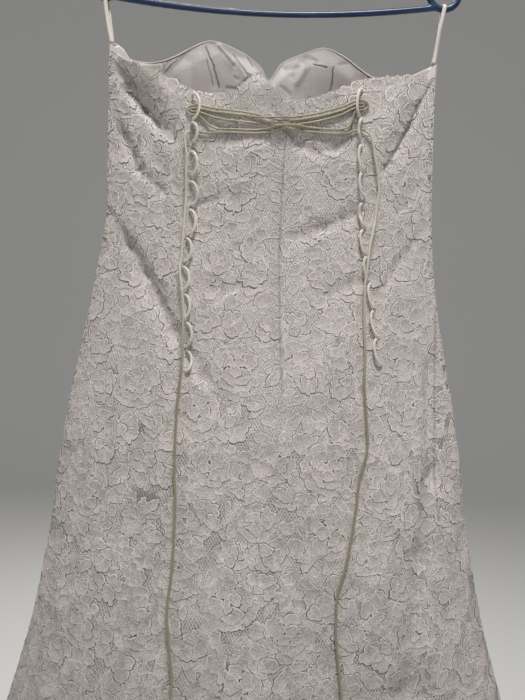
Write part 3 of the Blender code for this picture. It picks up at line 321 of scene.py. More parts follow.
Pass = namedtuple("Pass", "x z lift")
LACING_ROUTE = rows_of(Pass, (
    (-0.0885, -0.35, 0), (-0.079, -0.3494, 0), (-0.0702, -0.3511, 0), (-0.0535, -0.3501, 0),
    (-0.0325, -0.35, 0), (-0.016, -0.3503, 0), (-0.0018, -0.3489, 0), (0.0091, -0.3462, 0),
    (0.02, -0.3428, 0), (0.0331, -0.3389, 0), (0.0496, -0.3353, 0), (0.0639, -0.331, 0),
    (0.0771, -0.3259, 0), (0.0882, -0.3194, 0), (0.0949, -0.3157, 0), (0.1008, -0.3149, 0),
    (0.1025, -0.3139, 0), (0.1029, -0.3129, 0), (0.1024, -0.312, 0), (0.1007, -0.3114, 0),
    (0.0936, -0.3123, 0), (0.0792, -0.3203, 0), (0.0626, -0.3267, 0), (0.0439, -0.3317, 0),
    (0.0307, -0.3345, 0), (0.0197, -0.3357, 0), (0.0087, -0.3356, 0), (-0.0023, -0.3338, 0),
    (-0.0156, -0.3305, 0), (-0.0289, -0.3281, 0), (-0.0443, -0.3265, 0), (-0.0599, -0.3248, 0),
    (-0.0711, -0.3224, 0), (-0.0802, -0.3208, 0), (-0.0874, -0.3207, 0), (-0.0914, -0.3224, 0),
    (-0.0926, -0.3254, 0), (-0.0912, -0.3286, 0), (-0.0871, -0.3307, 0), (-0.081, -0.3314, 0),
    (-0.0741, -0.3359, 0), (-0.0677, -0.3423, 0), (-0.0592, -0.3461, 0), (-0.0481, -0.3467, 0),
    (-0.0326, -0.3468, 0), (-0.0194, -0.347, 0), (-0.0084, -0.3463, 0), (-0.0019, -0.3453, 0.001),
    (0.0047, -0.344, 0.0048), (0.0123, -0.3426, 0.0068), (0.02, -0.3416, 0.0068),
    (0.0266, -0.3412, 0.0052), (0.0332, -0.3414, 0.003), (0.042, -0.3417, 0.0002), (0.0532, -0.3422, 0),
    (0.0666, -0.3425, 0), (0.0778, -0.3416, 0), (0.0844, -0.3391, 0), (0.0888, -0.3338, 0),
    (0.0918, -0.3242, 0), (0.095, -0.3198, 0), (0.1007, -0.3183, 0), (0.1059, -0.3161, 0),
    (0.1078, -0.3122, 0), (0.1056, -0.3088, 0), (0.1003, -0.3077, 0), (0.0935, -0.3088, 0),
    (0.079, -0.3165, 0), (0.0624, -0.3228, 0), (0.0437, -0.3281, 0), (0.0306, -0.3309, 0),
    (0.0218, -0.3323, 0.0006), (0.0142, -0.333, 0.003), (0.0043, -0.334, 0.0034),
    (-0.0045, -0.3344, 0.0034), (-0.0122, -0.3341, 0.0022), (-0.0199, -0.3327, 0.0004),
    (-0.0287, -0.3315, 0), (-0.0442, -0.3299, 0), (-0.0598, -0.3282, 0), (-0.071, -0.3258, 0),
    (-0.0801, -0.3241, 0), (-0.0866, -0.3238, 0), (-0.0883, -0.3245, 0), (-0.0888, -0.3255, 0),
    (-0.0882, -0.3265, 0), (-0.0865, -0.3273, 0), (-0.08, -0.3276, 0), (-0.0686, -0.3318, 0),
    (-0.0529, -0.3361, 0), (-0.0373, -0.3378, 0), (-0.0219, -0.3392, 0), (-0.0086, -0.3405, 0),
    (0.0013, -0.3414, 0.0006), (0.0101, -0.3422, 0.0032), (0.0189, -0.3436, 0.0034),
    (0.0267, -0.3447, 0.0026), (0.0344, -0.3456, 0.0004), (0.0422, -0.346, 0), (0.0555, -0.3463, 0),
    (0.0701, -0.3464, 0), (0.0836, -0.3453, 0), (0.0925, -0.3418, 0), (0.1, -0.3392, 0),
    (0.105, -0.3408, 0),
))
TAIL_LEFT_ROUTE = [
    (-0.0893, -0.0377, -0.3501), (-0.0914, -0.038, -0.3507), (-0.0932, -0.0378, -0.353),
    (-0.0938, -0.0374, -0.3572), (-0.0931, -0.0368, -0.364), (-0.0915, -0.0361, -0.374),
    (-0.0915, -0.0346, -0.39), (-0.0908, -0.033, -0.423), (-0.0918, -0.0332, -0.451),
    (-0.093, -0.0365, -0.486), (-0.094, -0.0402, -0.502), (-0.0905, -0.0448, -0.524),
    (-0.088, -0.048, -0.543), (-0.0866, -0.0537, -0.58), (-0.0865, -0.0575, -0.61),
    (-0.0886, -0.0585, -0.633), (-0.0899, -0.0608, -0.666), (-0.0892, -0.0667, -0.7215),
    (-0.0868, -0.0704, -0.753), (-0.0868, -0.0782, -0.817), (-0.0901, -0.0838, -0.859),
    (-0.0857, -0.0911, -0.898), (-0.0814, -0.097, -0.926), (-0.0818, -0.1022, -0.951),
    (-0.083, -0.1085, -0.985), (-0.0822, -0.1158, -1.02), (-0.0815, -0.1262, -1.06),
]
TAIL_RIGHT_ROUTE = [
    (0.1057, -0.0331, -0.3411), (0.1086, -0.033, -0.3424), (0.112, -0.0325, -0.3464),
    (0.1152, -0.0317, -0.357), (0.1179, -0.0305, -0.3717), (0.1215, -0.0284, -0.387),
    (0.1236, -0.0268, -0.405), (0.1222, -0.0268, -0.42), (0.1204, -0.0288, -0.438),
    (0.1175, -0.0324, -0.455), (0.1146, -0.0352, -0.4703), (0.1123, -0.0377, -0.494),
    (0.1105, -0.0384, -0.51), (0.1105, -0.0386, -0.53), (0.1111, -0.0404, -0.557),
    (0.1124, -0.0443, -0.588), (0.1121, -0.0487, -0.619), (0.1148, -0.0532, -0.655),
    (0.1168, -0.0567, -0.6866), (0.113, -0.0599, -0.705), (0.1084, -0.0629, -0.7217),
    (0.1046, -0.0674, -0.7585), (0.0969, -0.0739, -0.8072), (0.088, -0.0788, -0.8395),
    (0.0868, -0.0816, -0.8626), (0.0876, -0.0849, -0.8925), (0.0928, -0.0889, -0.9328),
    (0.0952, -0.0922, -0.96), (0.097, -0.0963, -1.0), (0.0975, -0.1032, -1.045),
]


# ================================================================ the skin, for whole arrays of places
def smooth_rows(rows, places):
    """Each column's values at these places, on a smooth curve through the given rows."""
    values = np.array(rows, dtype=float)
    knots = values[:, 0]
    held = np.clip(np.asarray(places, dtype=float), knots[0], knots[-1])
    low = np.clip(np.searchsorted(knots, held, side="right") - 1, 0, len(knots) - 2)
    numbers = np.arange(len(knots))
    before, after = np.maximum(numbers - 1, 0), np.minimum(numbers + 1, len(knots) - 1)
    slopes = (values[after] - values[before]) / (knots[after] - knots[before])[:, None]
    span = (knots[low + 1] - knots[low])[..., None]
    t = (held - knots[low])[..., None] / span
    curve = (
        (1 + 2 * t) * (1 - t) ** 2 * values[low]
        + t * (1 - t) ** 2 * span * slopes[low]
        + t * t * (3 - 2 * t) * values[low + 1]
        + t * t * (t - 1) * span * slopes[low + 1]
    )
    return type(rows[0])(*np.moveaxis(curve, -1, 0))


def soft_step(value):
    held = np.clip(value, 0.0, 1.0)
    return held * held * (3 - 2 * held)


def line_distance(line, x, z):
    """Share along a line, and the signed distance from it, positive to its left."""
    along_x, along_z = line.x2 - line.x1, line.z2 - line.z1
    squared = along_x**2 + along_z**2
    share = np.clip(((x - line.x1) * along_x + (z - line.z1) * along_z) / squared, 0, 1)
    away_x, away_z = x - line.x1 - share * along_x, z - line.z1 - share * along_z
    left = along_x * away_z - along_z * away_x
    return share, np.hypot(away_x, away_z) * np.where(left < 0, -1, 1)


def fold_depth(side, x, z):
    """How far the soft folds move the skin outwards."""
    total = np.zeros_like(x)
    for fold in FOLDS:
        share, distance = line_distance(fold, x, z)
        middle = FOLD_END_SHARE + (1 - FOLD_END_SHARE) * np.sin(np.pi * share)
        total += (side == fold.side) * fold.depth * middle * np.exp(-((distance / fold.width) ** 2))
    return total


def crease_depth(creases, side, x, z):
    """How far the sharper creases move the skin outwards."""
    total = np.zeros_like(x)
    for crease in creases:
        _, distance = line_distance(crease, x, z)
        width = crease.width * (1 + crease.lean * np.where(distance > 0, 1, -1))
        total += (side == crease.side) * crease.depth * np.exp(-((distance / width) ** 2))
    return total


def cup_swell(x, z):
    height = np.exp(-(((z - CUP_Z) / CUP_REACH_Z) ** 2))
    return CUP_SWELL * height * sum(
        np.exp(-(((x - middle) / CUP_REACH_X) ** 2)) for middle in (-CUP_X, CUP_X)
    )


def edge_height(edge, station):
    return smooth_rows(edge, TOP_HALF_WIDTH * (2 * np.asarray(station) - 1)).z


def round_the_side(side, station):
    """Side and station of a place whose station may run past a side seam."""
    past = (station < 0) | (station > 1)
    held = np.where(station < 0, -station, np.where(station > 1, 2 - station, station))
    return np.where(past, -side, side), held


def top_height(side, station):
    """Height of the lace's top edge."""
    side, station = round_the_side(side, station)
    return np.where(side < 0, edge_height(BACK_EDGE, station), edge_height(FRONT_EDGE, station))


def seam_groove(side, station, z, half_width):
    """The shallow groove that a sewn seam draws into the lace."""
    total = np.zeros_like(station)
    seams = smooth_rows(BACK_SEAMS, z)
    for own_side, place, share in (
        (-1, seams.left, SIDE_GROOVE_SHARE), (-1, seams.centre, 1.0), (-1, seams.right, SIDE_GROOVE_SHARE),
        (1, FRONT_SEAM, 1.0), (1, 1 - FRONT_SEAM, 1.0),
    ):
        distance = 2 * (station - place) * half_width
        groove = np.exp(-((distance / SEAM_GROOVE_WIDTH) ** 2))
        total -= (side == own_side) * share * SEAM_GROOVE_DEPTH * groove
    return total


def skin(side, station, z, lining=False):
    """Points on the skin of the lace, or of the satin inside it. The side is -1 at the back."""
    side, station, z = np.broadcast_arrays(side, np.asarray(station, float), np.asarray(z, float))
    side, station = round_the_side(side, station)
    row = smooth_rows(SECTIONS, z)
    share = (1 - row.roundness) * (2 * station - 1) - row.roundness * np.cos(np.pi * station)
    depth = np.where(side > 0, row.front_depth, row.back_depth)
    half_width = row.half_width
    if lining:
        inset = smooth_rows(LINING, z)
        inward = np.where(side > 0, inset.front, inset.back)
        ease = soft_step((top_height(side, station) - z) / LINING_EASE)
        depth = depth - LINING_LEAST - (inward - LINING_LEAST) * ease
        half_width = half_width - inset.side
    x = share * half_width
    y = depth * np.maximum(0.0, 1 - share * share) ** (1 - row.roundness / 2)
    fade = np.minimum(1.0, (1 - np.abs(share)) / FOLD_FADE)
    y = y + fade * (fold_depth(side, x, z) + crease_depth(CREASES, side, x, z))
    y = y + fade * (side > 0) * cup_swell(x, z)
    if lining:
        y = y - fade * crease_depth(CUP_CREASES, side, x, z)
    else:
        y = y + seam_groove(side, station, z, half_width)
    angle = side * np.pi * station
    wave = row.flute * sum(flute.share * np.cos(flute.count * angle + flute.phase) for flute in FLUTES)
    x = x - FLUTE_SPREAD * wave * np.cos(np.pi * station)
    y = y + wave * np.sin(np.pi * station)
    return np.stack([x + row.shift, side * y, z], axis=-1)


def outward(side, station, z):
    """Outward normals of the lace's skin."""
    sideways = skin(side, station + STATION_STEP, z) - skin(side, station - STATION_STEP, z)
    down = skin(side, station, z - HEIGHT_STEP) - skin(side, station, z + HEIGHT_STEP)
    normal = side * np.cross(sideways, down)
    return normal / np.linalg.norm(normal, axis=-1, keepdims=True)


def station_at(x, z):
    """Station on the back at this x."""
    stations = np.linspace(0.0, 1.0, FINE_STATIONS)
    return float(np.interp(x, skin(-1, stations, z)[:, 0], stations))


def cloth_face(x, z):
    """The y of the back's outside at one point."""
    return float(skin(-1, station_at(x, z), z)[1]) - LACE_WALL


# ================================================================ small helpers
def dress_settings():
    return bpy.context.scene.dress_sizes, bpy.context.scene.dress_colours


def add_piece(mesh, material, replaces=()):
    """A finished piece with its mesh's name, at the origin, riding on the one body."""
    piece = bpy.data.objects.new(mesh.name, mesh)
    bpy.context.scene.collection.objects.link(piece)
    mesh.materials.append(kept_material(material))
    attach(piece, "root")
    if replaces:
        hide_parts(*replaces)
    return piece


def finished_mesh(name, shape):
    """A smooth mesh of this shape, which is freed."""
    mesh = bpy.data.meshes.new(name)
    shape.to_mesh(mesh)
    shape.free()
    mesh.polygons.foreach_set("use_smooth", np.ones(len(mesh.polygons), dtype=bool))
    return mesh


def joined_mesh(name, meshes):
    """One mesh of all these, which are removed."""
    shape = bmesh.new()
    for mesh in meshes:
        shape.from_mesh(mesh)
        bpy.data.meshes.remove(mesh)
    return finished_mesh(name, shape)


def set_flat_map(mesh, flat):
    """A UV map from each vertex's place on the flat cloth."""
    corners = np.empty(len(mesh.loops), dtype=np.int32)
    mesh.loops.foreach_get("vertex_index", corners)
    layer = mesh.uv_layers.new(name="cloth")
    layer.data.foreach_set("uv", flat[corners].astype(np.float32).ravel())


def set_finish_and_painted_light(mesh, values):
    """The four numbers of each vertex that its material works with: on petals the painted highlight of the
    cord, the tone and the painted shade at the foot; on the net how open it is.
    """
    layer = mesh.attributes.new("finish", "FLOAT_COLOR", "POINT")
    layer.data.foreach_set("color", values.astype(np.float32).ravel())


TUBE_SEAM_MERGE = 1e-7
ROUTE_STEPS = 24


def lengths_along(points, axis=0):
    """Distances along rows of points, from the first point of each."""
    steps = np.linalg.norm(np.diff(points, axis=axis), axis=-1)
    return np.concatenate([0 * np.take(steps, [0], axis), np.cumsum(steps, axis=axis)], axis=axis)


def smooth_route(points, count):
    """Evenly spaced points on a smooth curve through a route's own points."""
    route = np.array(points, dtype=float)
    ends = np.vstack([2 * route[0] - route[1], route, 2 * route[-1] - route[-2]])
    t = np.linspace(0, 1, ROUTE_STEPS, endpoint=False)[:, None]
    curve = []
    for before, start, end, after in zip(ends, ends[1:], ends[2:], ends[3:]):
        curve.append(0.5 * (
            2 * start
            + (end - before) * t
            + (2 * before - 5 * start + 4 * end - after) * t**2
            + (3 * start - before - 3 * end + after) * t**3
        ))
    curve = np.vstack([*curve, route[-1]])
    lengths = lengths_along(curve)
    places = np.linspace(0, lengths[-1], count)
    return np.stack([np.interp(places, lengths, curve[:, axis]) for axis in range(3)], axis=1)


def grid_shape(places):
    """A grid with its vertices at these places, and the row and column of each vertex."""
    rows, columns = len(places), len(places[0])
    grid = bmesh.new()
    bmesh.ops.create_grid(grid, x_segments=columns - 1, y_segments=rows - 1, size=0.5)
    local = np.array([vert.co[:2] for vert in grid.verts])
    row = np.rint((0.5 - local[:, 1]) * (rows - 1)).astype(int)
    column = np.rint((local[:, 0] + 0.5) * (columns - 1)).astype(int)
    for vert, i, j in zip(grid.verts, row, column):
        vert.co = Vector(places[i][j])
    return grid, row, column


def sweep(name, path, section, sides):
    """A closed tube along a path. section(length, angle) says how far it goes across and off the path."""
    path = np.asarray(path)
    tangents = np.gradient(path, axis=0)
    tangents /= np.linalg.norm(tangents, axis=1, keepdims=True)
    normal = np.cross(tangents[0], (0.0, 1.0, 0.0))
    if np.linalg.norm(normal) < 0.1:
        normal = np.cross(tangents[0], (1.0, 0.0, 0.0))
    angles = math.pi / 2 - math.tau * np.arange(sides + 1) / sides
    rings = []
    for point, tangent, length in zip(path, tangents, lengths_along(path)):
        normal = normal - tangent * np.dot(normal, tangent)
        normal /= np.linalg.norm(normal)
        other = np.cross(tangent, normal)
        places = [section(length, angle) for angle in angles]
        rings.append([point + normal * across + other * off for across, off in places])
    tube, _, column = grid_shape(rings)
    seam = [vert for vert, number in zip(tube.verts, column) if number in (0, sides)]
    bmesh.ops.remove_doubles(tube, verts=seam, dist=TUBE_SEAM_MERGE)
    bmesh.ops.holes_fill(tube, edges=tube.edges, sides=0)
    bmesh.ops.recalc_face_normals(tube, faces=tube.faces)
    return finished_mesh(name, tube)


# ================================================================ shader building
VECTOR, FLOAT = "NodeSocketVector", "NodeSocketFloat"
FRONT_PLANE = (1.0, 0.0, 1.0)
HALF_GREY = (0.5, 0.5, 0.5)
# the two colour inputs and the colour output of a Mix node
MIX_FIRST, MIX_SECOND, MIX_RESULT = 6, 7, 2
# noise is scaled in cells for each metre; a range is what a spread goes from and to
LINE_NOISE, CREASE_WANDER, GAP_WANDER = 130.0, 0.004, 0.012
BEHIND_Y = -0.004
SKIRT_FINE_NOISE, SKIRT_BROAD_NOISE, SKIRT_NOISE_RANGE = 52.0, 7.0, (0.36, 0.64)
SKIRT_FINE_SHARE, SKIRT_BROAD_SHARE = 0.2, 0.04
# heights of the skirt's random clouds, its painted light below the hips and its painted shade towards the hem
CLOUDED_Z, HIPS_Z, HEM_SHADE_Z = (-0.72, -0.54), (-0.7, -0.56), (-1.0, -0.74)
HIPS_BRIGHTNESS, HEM_SHADE_BY = 1.05, -0.14
NET_BEND_NOISE, NET_BEND = 90.0, 0.003
STRAND_SLOPE, STRAND_EDGE = 0.62, (0.24, 0.7)
KNOT_GLINT, PIT_SHARE = 0.9, 0.5
DENSE_NOISE, DENSE_OPENING, DENSE_RANGE = 42.0, 0.17, (0.34, 0.46)
WORN_NOISE, WORN_OPENING, WORN_RANGE = 15.0, 0.16, (0.58, 0.7)
NET_VEIL, NET_GAPE = 0.88, 0.62
SPECK_NOISE, SPECK_RANGE = 430.0, (0.53, 0.64)
PIT_NOISE, PIT_RANGE = 300.0, (0.4, 0.6)
PETAL_THREADS, PETAL_VEINS = 4200.0, 9.0
PETAL_TONES, SATIN_TONES, PLASTIC_TONES = (60.0, 420.0), (24.0, 600.0), (30.0, 900.0)
TONE_RANGE, PLASTIC_TONE_RANGE = (0.38, 0.62), (0.35, 0.7)
STITCH_NOISE, STITCH_RANGE, STITCH_DARK = 620.0, (0.4, 0.56), 0.36
HIGHLIT_RIDGE_RANGE, FOOT_SHADE_RANGE = (0.35, 0.85), (0.3, 0.75)
SHADED_SATIN_Z, SHADED_SATIN_NOISE, SHADED_SATIN_RANGE = (-0.64, -0.48), 14.0, (0.42, 0.58)
SLUB_FINE_NOISE, SLUB_BROAD_NOISE, SLUB_STRETCH, SLUB_RANGE = 300.0, 60.0, (1.0, 1.0, 0.25), (0.7, 1.3)
SCUFF_NOISE, SCUFF_STRETCH, SCUFF_RANGE = 700.0, (0.15, 1.0, 1.0), (0.6, 0.72)
PEEL_NOISE, PLASTIC_ROUGHNESS, SCUFF_ROUGHNESS = 240.0, 0.36, 0.2


def feed(tree, node, inputs):
    """Give a node's inputs their values or wires."""
    for name, value in inputs.items():
        if isinstance(value, Wire):
            tree.links.new(value.socket, node.inputs[name])
        else:
            node.inputs[name].default_value = value


def add_node(tree, kind, inputs, **settings):
    node = tree.nodes.new(kind)
    for name, value in settings.items():
        setattr(node, name, value)
    feed(tree, node, inputs)
    return node


class Wire:
    """One output in a node tree. Each method adds a node behind it and returns that node's output."""

    def __init__(self, tree, socket):
        self.tree, self.socket = tree, socket

    def to(self, kind, inputs, output=0, **settings):
        return Wire(self.tree, add_node(self.tree, kind, inputs, **settings).outputs[output])

    def maths(self, operation, first, second=0.0, clamp=False):
        return self.to("ShaderNodeMath", {0: first, 1: second}, operation=operation, use_clamp=clamp)

    def __add__(self, other):
        return self.maths("ADD", self, other)

    def __sub__(self, other):
        return self.maths("SUBTRACT", self, other)

    def __rsub__(self, other):
        return self.maths("SUBTRACT", other, self)

    def __mul__(self, other):
        return self.maths("MULTIPLY", self, other)

    def above(self, other):
        return self.maths("MAXIMUM", self, other)

    def swing(self):
        """The size of its sine."""
        return self.maths("ABSOLUTE", self.maths("SINE", self))

    def vector(self, operation, other, output=0):
        return self.to("ShaderNodeVectorMath", {0: self, 1: other}, output, operation=operation)

    def scaled(self, amount):
        return self.to("ShaderNodeVectorMath", {0: self, "Scale": amount}, operation="SCALE")

    def stretched(self, amounts):
        return self.to("ShaderNodeMapping", {"Vector": self, "Scale": amounts})

    def parts(self, kind="ShaderNodeSeparateXYZ"):
        return [Wire(self.tree, socket) for socket in add_node(self.tree, kind, {0: self}).outputs]

    def spread(self, low, high, to_low=0.0, to_high=1.0):
        inputs = {"Value": self, "From Min": low, "From Max": high, "To Min": to_low, "To Max": to_high}
        return self.to("ShaderNodeMapRange", inputs, interpolation_type="SMOOTHSTEP")

    def mix(self, first, second):
        """The second colour by this share, on the first."""
        inputs = {0: self, MIX_FIRST: first, MIX_SECOND: second}
        return self.to("ShaderNodeMix", inputs, MIX_RESULT, data_type="RGBA")

    def noise(self, scale, detail=2.0, roughness=0.5, output="Fac"):
        inputs = {"Vector": self, "Scale": scale, "Detail": detail, "Roughness": roughness}
        return self.to("ShaderNodeTexNoise", inputs, output)

    def bump(self, strength, distance):
        return self.to("ShaderNodeBump", {"Height": self, "Strength": strength, "Distance": distance})


def source(tree, kind, output, **settings):
    """An output of a node that has no inputs, such as the place on the object."""
    return Wire(tree, add_node(tree, kind, {}, **settings).outputs[output])


def object_place(tree):
    return source(tree, "ShaderNodeTexCoord", "Object")


def cloth_place(tree):
    return source(tree, "ShaderNodeUVMap", 0, uv_map="cloth")


def finish_and_painted_light_parts(tree):
    finish = source(tree, "ShaderNodeAttribute", "Color", attribute_name="finish")
    return finish.parts("ShaderNodeSeparateColor")


def colour(value):
    return (*value[:3], 1.0)


def new_material(name):
    """A material with only its Principled shader and output, its tree and that shader."""
    material = bpy.data.materials.new(name)
    material.use_nodes = True
    return material, material.node_tree, material.node_tree.nodes["Principled BSDF"]


def shader_group(name, inputs, outputs):
    """Turns a function that works out a node group's outputs into one that uses the group in a tree."""
    def decorate(work_out):
        def use(tree, **given):
            if name not in bpy.data.node_groups:
                group = bpy.data.node_groups.new(name, "ShaderNodeTree")
                for socket, kind in inputs.items():
                    group.interface.new_socket(socket, in_out="INPUT", socket_type=kind)
                for socket in outputs:
                    group.interface.new_socket(socket, in_out="OUTPUT", socket_type=FLOAT)
                start = group.nodes.new("NodeGroupInput")
                results = work_out(group, *[Wire(group, start.outputs[socket]) for socket in inputs])
                feed(group, group.nodes.new("NodeGroupOutput"), dict(zip(outputs, results)))
            used = add_node(tree, "ShaderNodeGroup", given, node_tree=bpy.data.node_groups[name])
            return [Wire(tree, used.outputs[socket]) for socket in outputs]
        return use
    return decorate


@shader_group("thread_weave", {"Place": VECTOR, "Threads": FLOAT}, ["Height"])
def thread_weave(tree, place, threads):
    """A height for the bump of fine woven threads."""
    across, along, _ = place.parts()
    return [(across * threads).swing() * (along * threads).swing()]


@shader_group("cloth_tone", {"Place": VECTOR, "Broad": FLOAT, "Fine": FLOAT}, ["Tone"])
def cloth_tone(tree, place, broad, fine):
    """Soft uneven tone of washed cloth, from broad and fine noise, around one half."""
    return [place.noise(broad, 3.0) * 0.6 + place.noise(fine) * 0.4]


@shader_group("line_mask", {"Place": VECTOR, "Start": VECTOR, "Along": VECTOR, "Width": FLOAT}, ["Mask"])
def line_mask(tree, place, start, along, width):
    """Closeness to a straight line in the front's plane: one on it, nothing a width away."""
    away = place.vector("SUBTRACT", start)
    reached, squared = away.vector("DOT_PRODUCT", along, "Value"), along.vector("DOT_PRODUCT", along, "Value")
    nearest = along.scaled(away.maths("DIVIDE", reached, squared, clamp=True))
    far = away.vector("DISTANCE", nearest, "Value")
    return [far.maths("DIVIDE", far, width).spread(0.1, 0.9, 1.0, 0.0)]


def darkest_line(place, lines, wander):
    """The darkest of these lines at a place, each drawn with a slightly unsteady hand."""
    flat = place.stretched(FRONT_PLANE)
    shift = flat.noise(LINE_NOISE, 1.0, output="Color").vector("SUBTRACT", HALF_GREY).scaled(wander)
    drawn = flat.vector("ADD", shift).stretched(FRONT_PLANE)
    dark = 0.0
    for line in lines:
        start, along = (line.x1, 0.0, line.z1), (line.x2 - line.x1, 0.0, line.z2 - line.z1)
        mask = line_mask(place.tree, Place=drawn, Start=start, Along=along, Width=line.width)[0]
        dark = (mask * line.dark).above(dark)
    return dark


@shader_group("crease_shade", {}, ["Shade", "Gap"])
def crease_shade(tree):
    """Painted shade in the back's sharp creases and broad shaded patches, nothing on the front, and painted
    shade in the open places of the skirt's net.
    """
    place = object_place(tree)
    behind = place.parts()[1].spread(BEHIND_Y, 0.0, 1.0, 0.0)
    # painted shade along the back's creases and in its shaded patches
    shade = darkest_line(place, BACK_SHADE_LINES, CREASE_WANDER) * behind
    # painted shade in the open places of the skirt's net
    return [shade, darkest_line(place, NET_GAP_SHADE, GAP_WANDER)]


@shader_group("skirt_tone", {}, ["Brightness"])
def skirt_tone(tree):
    """Brightness of the lace: even above the hips; below them a little painted light, clouded at random, and
    painted shade darker towards the hem.
    """
    place = object_place(tree)
    height = place.parts()[2]
    fine = place.noise(SKIRT_FINE_NOISE, 3.0, 0.6).spread(*SKIRT_NOISE_RANGE, 0.5, -0.5)
    broad = place.noise(SKIRT_BROAD_NOISE, 1.0).spread(*SKIRT_NOISE_RANGE, 0.5, -0.5)
    clouds = fine * SKIRT_FINE_SHARE + broad * SKIRT_BROAD_SHARE
    clouds = clouds * height.spread(*CLOUDED_Z, 1.0, 0.0)
    return [height.spread(*HIPS_Z, HIPS_BRIGHTNESS, 1.0) + height.spread(*HEM_SHADE_Z, HEM_SHADE_BY, 0.0) + clouds]


def net_material(name):
    """Lace ground: a fine diagonal net with knots that glint, denser or more open from place to place."""
    sizes, colours = dress_settings()
    material, tree, shader = new_material(name)
    place, opening = cloth_place(tree), finish_and_painted_light_parts(tree)[0]
    shift = place.noise(NET_BEND_NOISE, 1.0, output="Color").scaled(NET_BEND)
    across, up, _ = place.vector("ADD", shift).parts()
    strands = [
        ((across + up * slope) * (math.pi / sizes.net_pitch)).swing().spread(*STRAND_EDGE, 1.0, 0.0)
        for slope in (STRAND_SLOPE, -STRAND_SLOPE)
    ]
    net, knot = strands[0].above(strands[1]), strands[0] * strands[1]
    dense = (place.noise(DENSE_NOISE) - opening * DENSE_OPENING).spread(*DENSE_RANGE)
    patchy = (place.noise(WORN_NOISE, 1.0) + opening * WORN_OPENING).spread(*WORN_RANGE)
    veil = NET_VEIL - opening * patchy * NET_GAPE
    glint = (place.noise(SPECK_NOISE, 1.0).spread(*SPECK_RANGE) * dense).above(knot * KNOT_GLINT)
    ground = net.above(place.noise(PIT_NOISE).spread(*PIT_RANGE) * PIT_SHARE)
    bright = glint.mix(ground.mix(colour(colours.net_shadow), colour(colours.net)), colour(colours.net_glint))
    shade, gap_shade = crease_shade(tree)
    # painted shade: the open places of the skirt's net and the back's creases are darkened
    creased = shade.mix(gap_shade.mix(bright, colour(colours.net_gap_shade)), colour(colours.lace_shadow))
    feed(tree, shader, {
        "Alpha": net.above(dense).above(veil), "Base Color": creased.scaled(skirt_tone(tree)[0]),
        "Normal": (ground + glint * 0.9).bump(0.9, 0.0008), "Roughness": 0.55, "Sheen Weight": 0.15,
    })
    return material


def motif_material(name):
    """Petals and leaves: matt woven fill inside a raised cord, with painted highlight along the cord and
    painted shade where they meet the net.
    """
    _, colours = dress_settings()
    material, tree, shader = new_material(name)
    ridge, tone, foot = finish_and_painted_light_parts(tree)[:3]
    place = cloth_place(tree)
    weave = thread_weave(tree, Place=place, Threads=PETAL_THREADS)[0]
    aged = cloth_tone(tree, Place=place, Broad=PETAL_TONES[0], Fine=PETAL_TONES[1])[0]
    across, along, _ = place.parts()
    veins = (across.maths("ARCTAN2", across, along) * PETAL_VEINS).swing()
    grain = object_place(tree).noise(STITCH_NOISE, 2.0, 0.6)
    dark, shadow = colour(colours.petal_dark), colour(colours.lace_shadow)
    fill = aged.spread(*TONE_RANGE, 0.0, 0.5).mix(tone.mix(dark, colour(colours.petal_light)), dark)
    stitched = grain.spread(*STITCH_RANGE, STITCH_DARK, 0.0).mix(fill, shadow)
    # painted highlight: the cord's ridge is lightened towards the cord colour
    corded = ridge.spread(*HIGHLIT_RIDGE_RANGE).mix(stitched, colour(colours.lace_cord))
    # painted shade: darker at the foot of each petal's rim, where it meets the net
    shaded = foot.spread(*FOOT_SHADE_RANGE).mix(corded, shadow)
    # painted shade in the back's creases
    creased = crease_shade(tree)[0].mix(shaded, shadow)
    feed(tree, shader, {
        "Base Color": creased.scaled(skirt_tone(tree)[0]), "Roughness": 0.75, "Sheen Weight": 0.1,
        "Normal": (weave * 0.5 + veins + grain * 4.0).bump(0.4, 0.00025),
    })
    return material


def satin_look(tree, place, dark, light):
    """The uneven tone of satin between two colours."""
    tone = cloth_tone(tree, Place=place, Broad=SATIN_TONES[0], Fine=SATIN_TONES[1])[0]
    return tone.spread(*TONE_RANGE).mix(colour(dark), colour(light))


def satin_material(name):
    """Smooth satin with a soft sheen, faint slubs and uneven tone."""
    satin, (_, colours) = SATINS[name], dress_settings()
    material, tree, shader = new_material(name)
    place = object_place(tree)
    coloured = satin_look(tree, place, getattr(colours, satin.dark), getattr(colours, satin.base))
    # painted shade: the satin darkens towards its low colour lower down, in patches where patched
    if satin.low:
        fall = place.parts()[2].spread(*SHADED_SATIN_Z, 1.0, 0.0)
        if satin.patched:
            fall = fall * place.noise(SHADED_SATIN_NOISE).spread(*SHADED_SATIN_RANGE)
        coloured = fall.mix(coloured, colour(getattr(colours, satin.low)))
    slub = place.stretched(SLUB_STRETCH).noise(SLUB_FINE_NOISE) + place.noise(SLUB_BROAD_NOISE)
    feed(tree, shader, {
        "Base Color": coloured, "Normal": slub.bump(0.25, 0.001),
        "Roughness": slub.spread(*SLUB_RANGE, satin.rough - 0.05, satin.rough + 0.08),
        "Sheen Weight": 0.25, "Sheen Roughness": 0.35,
    })
    return material


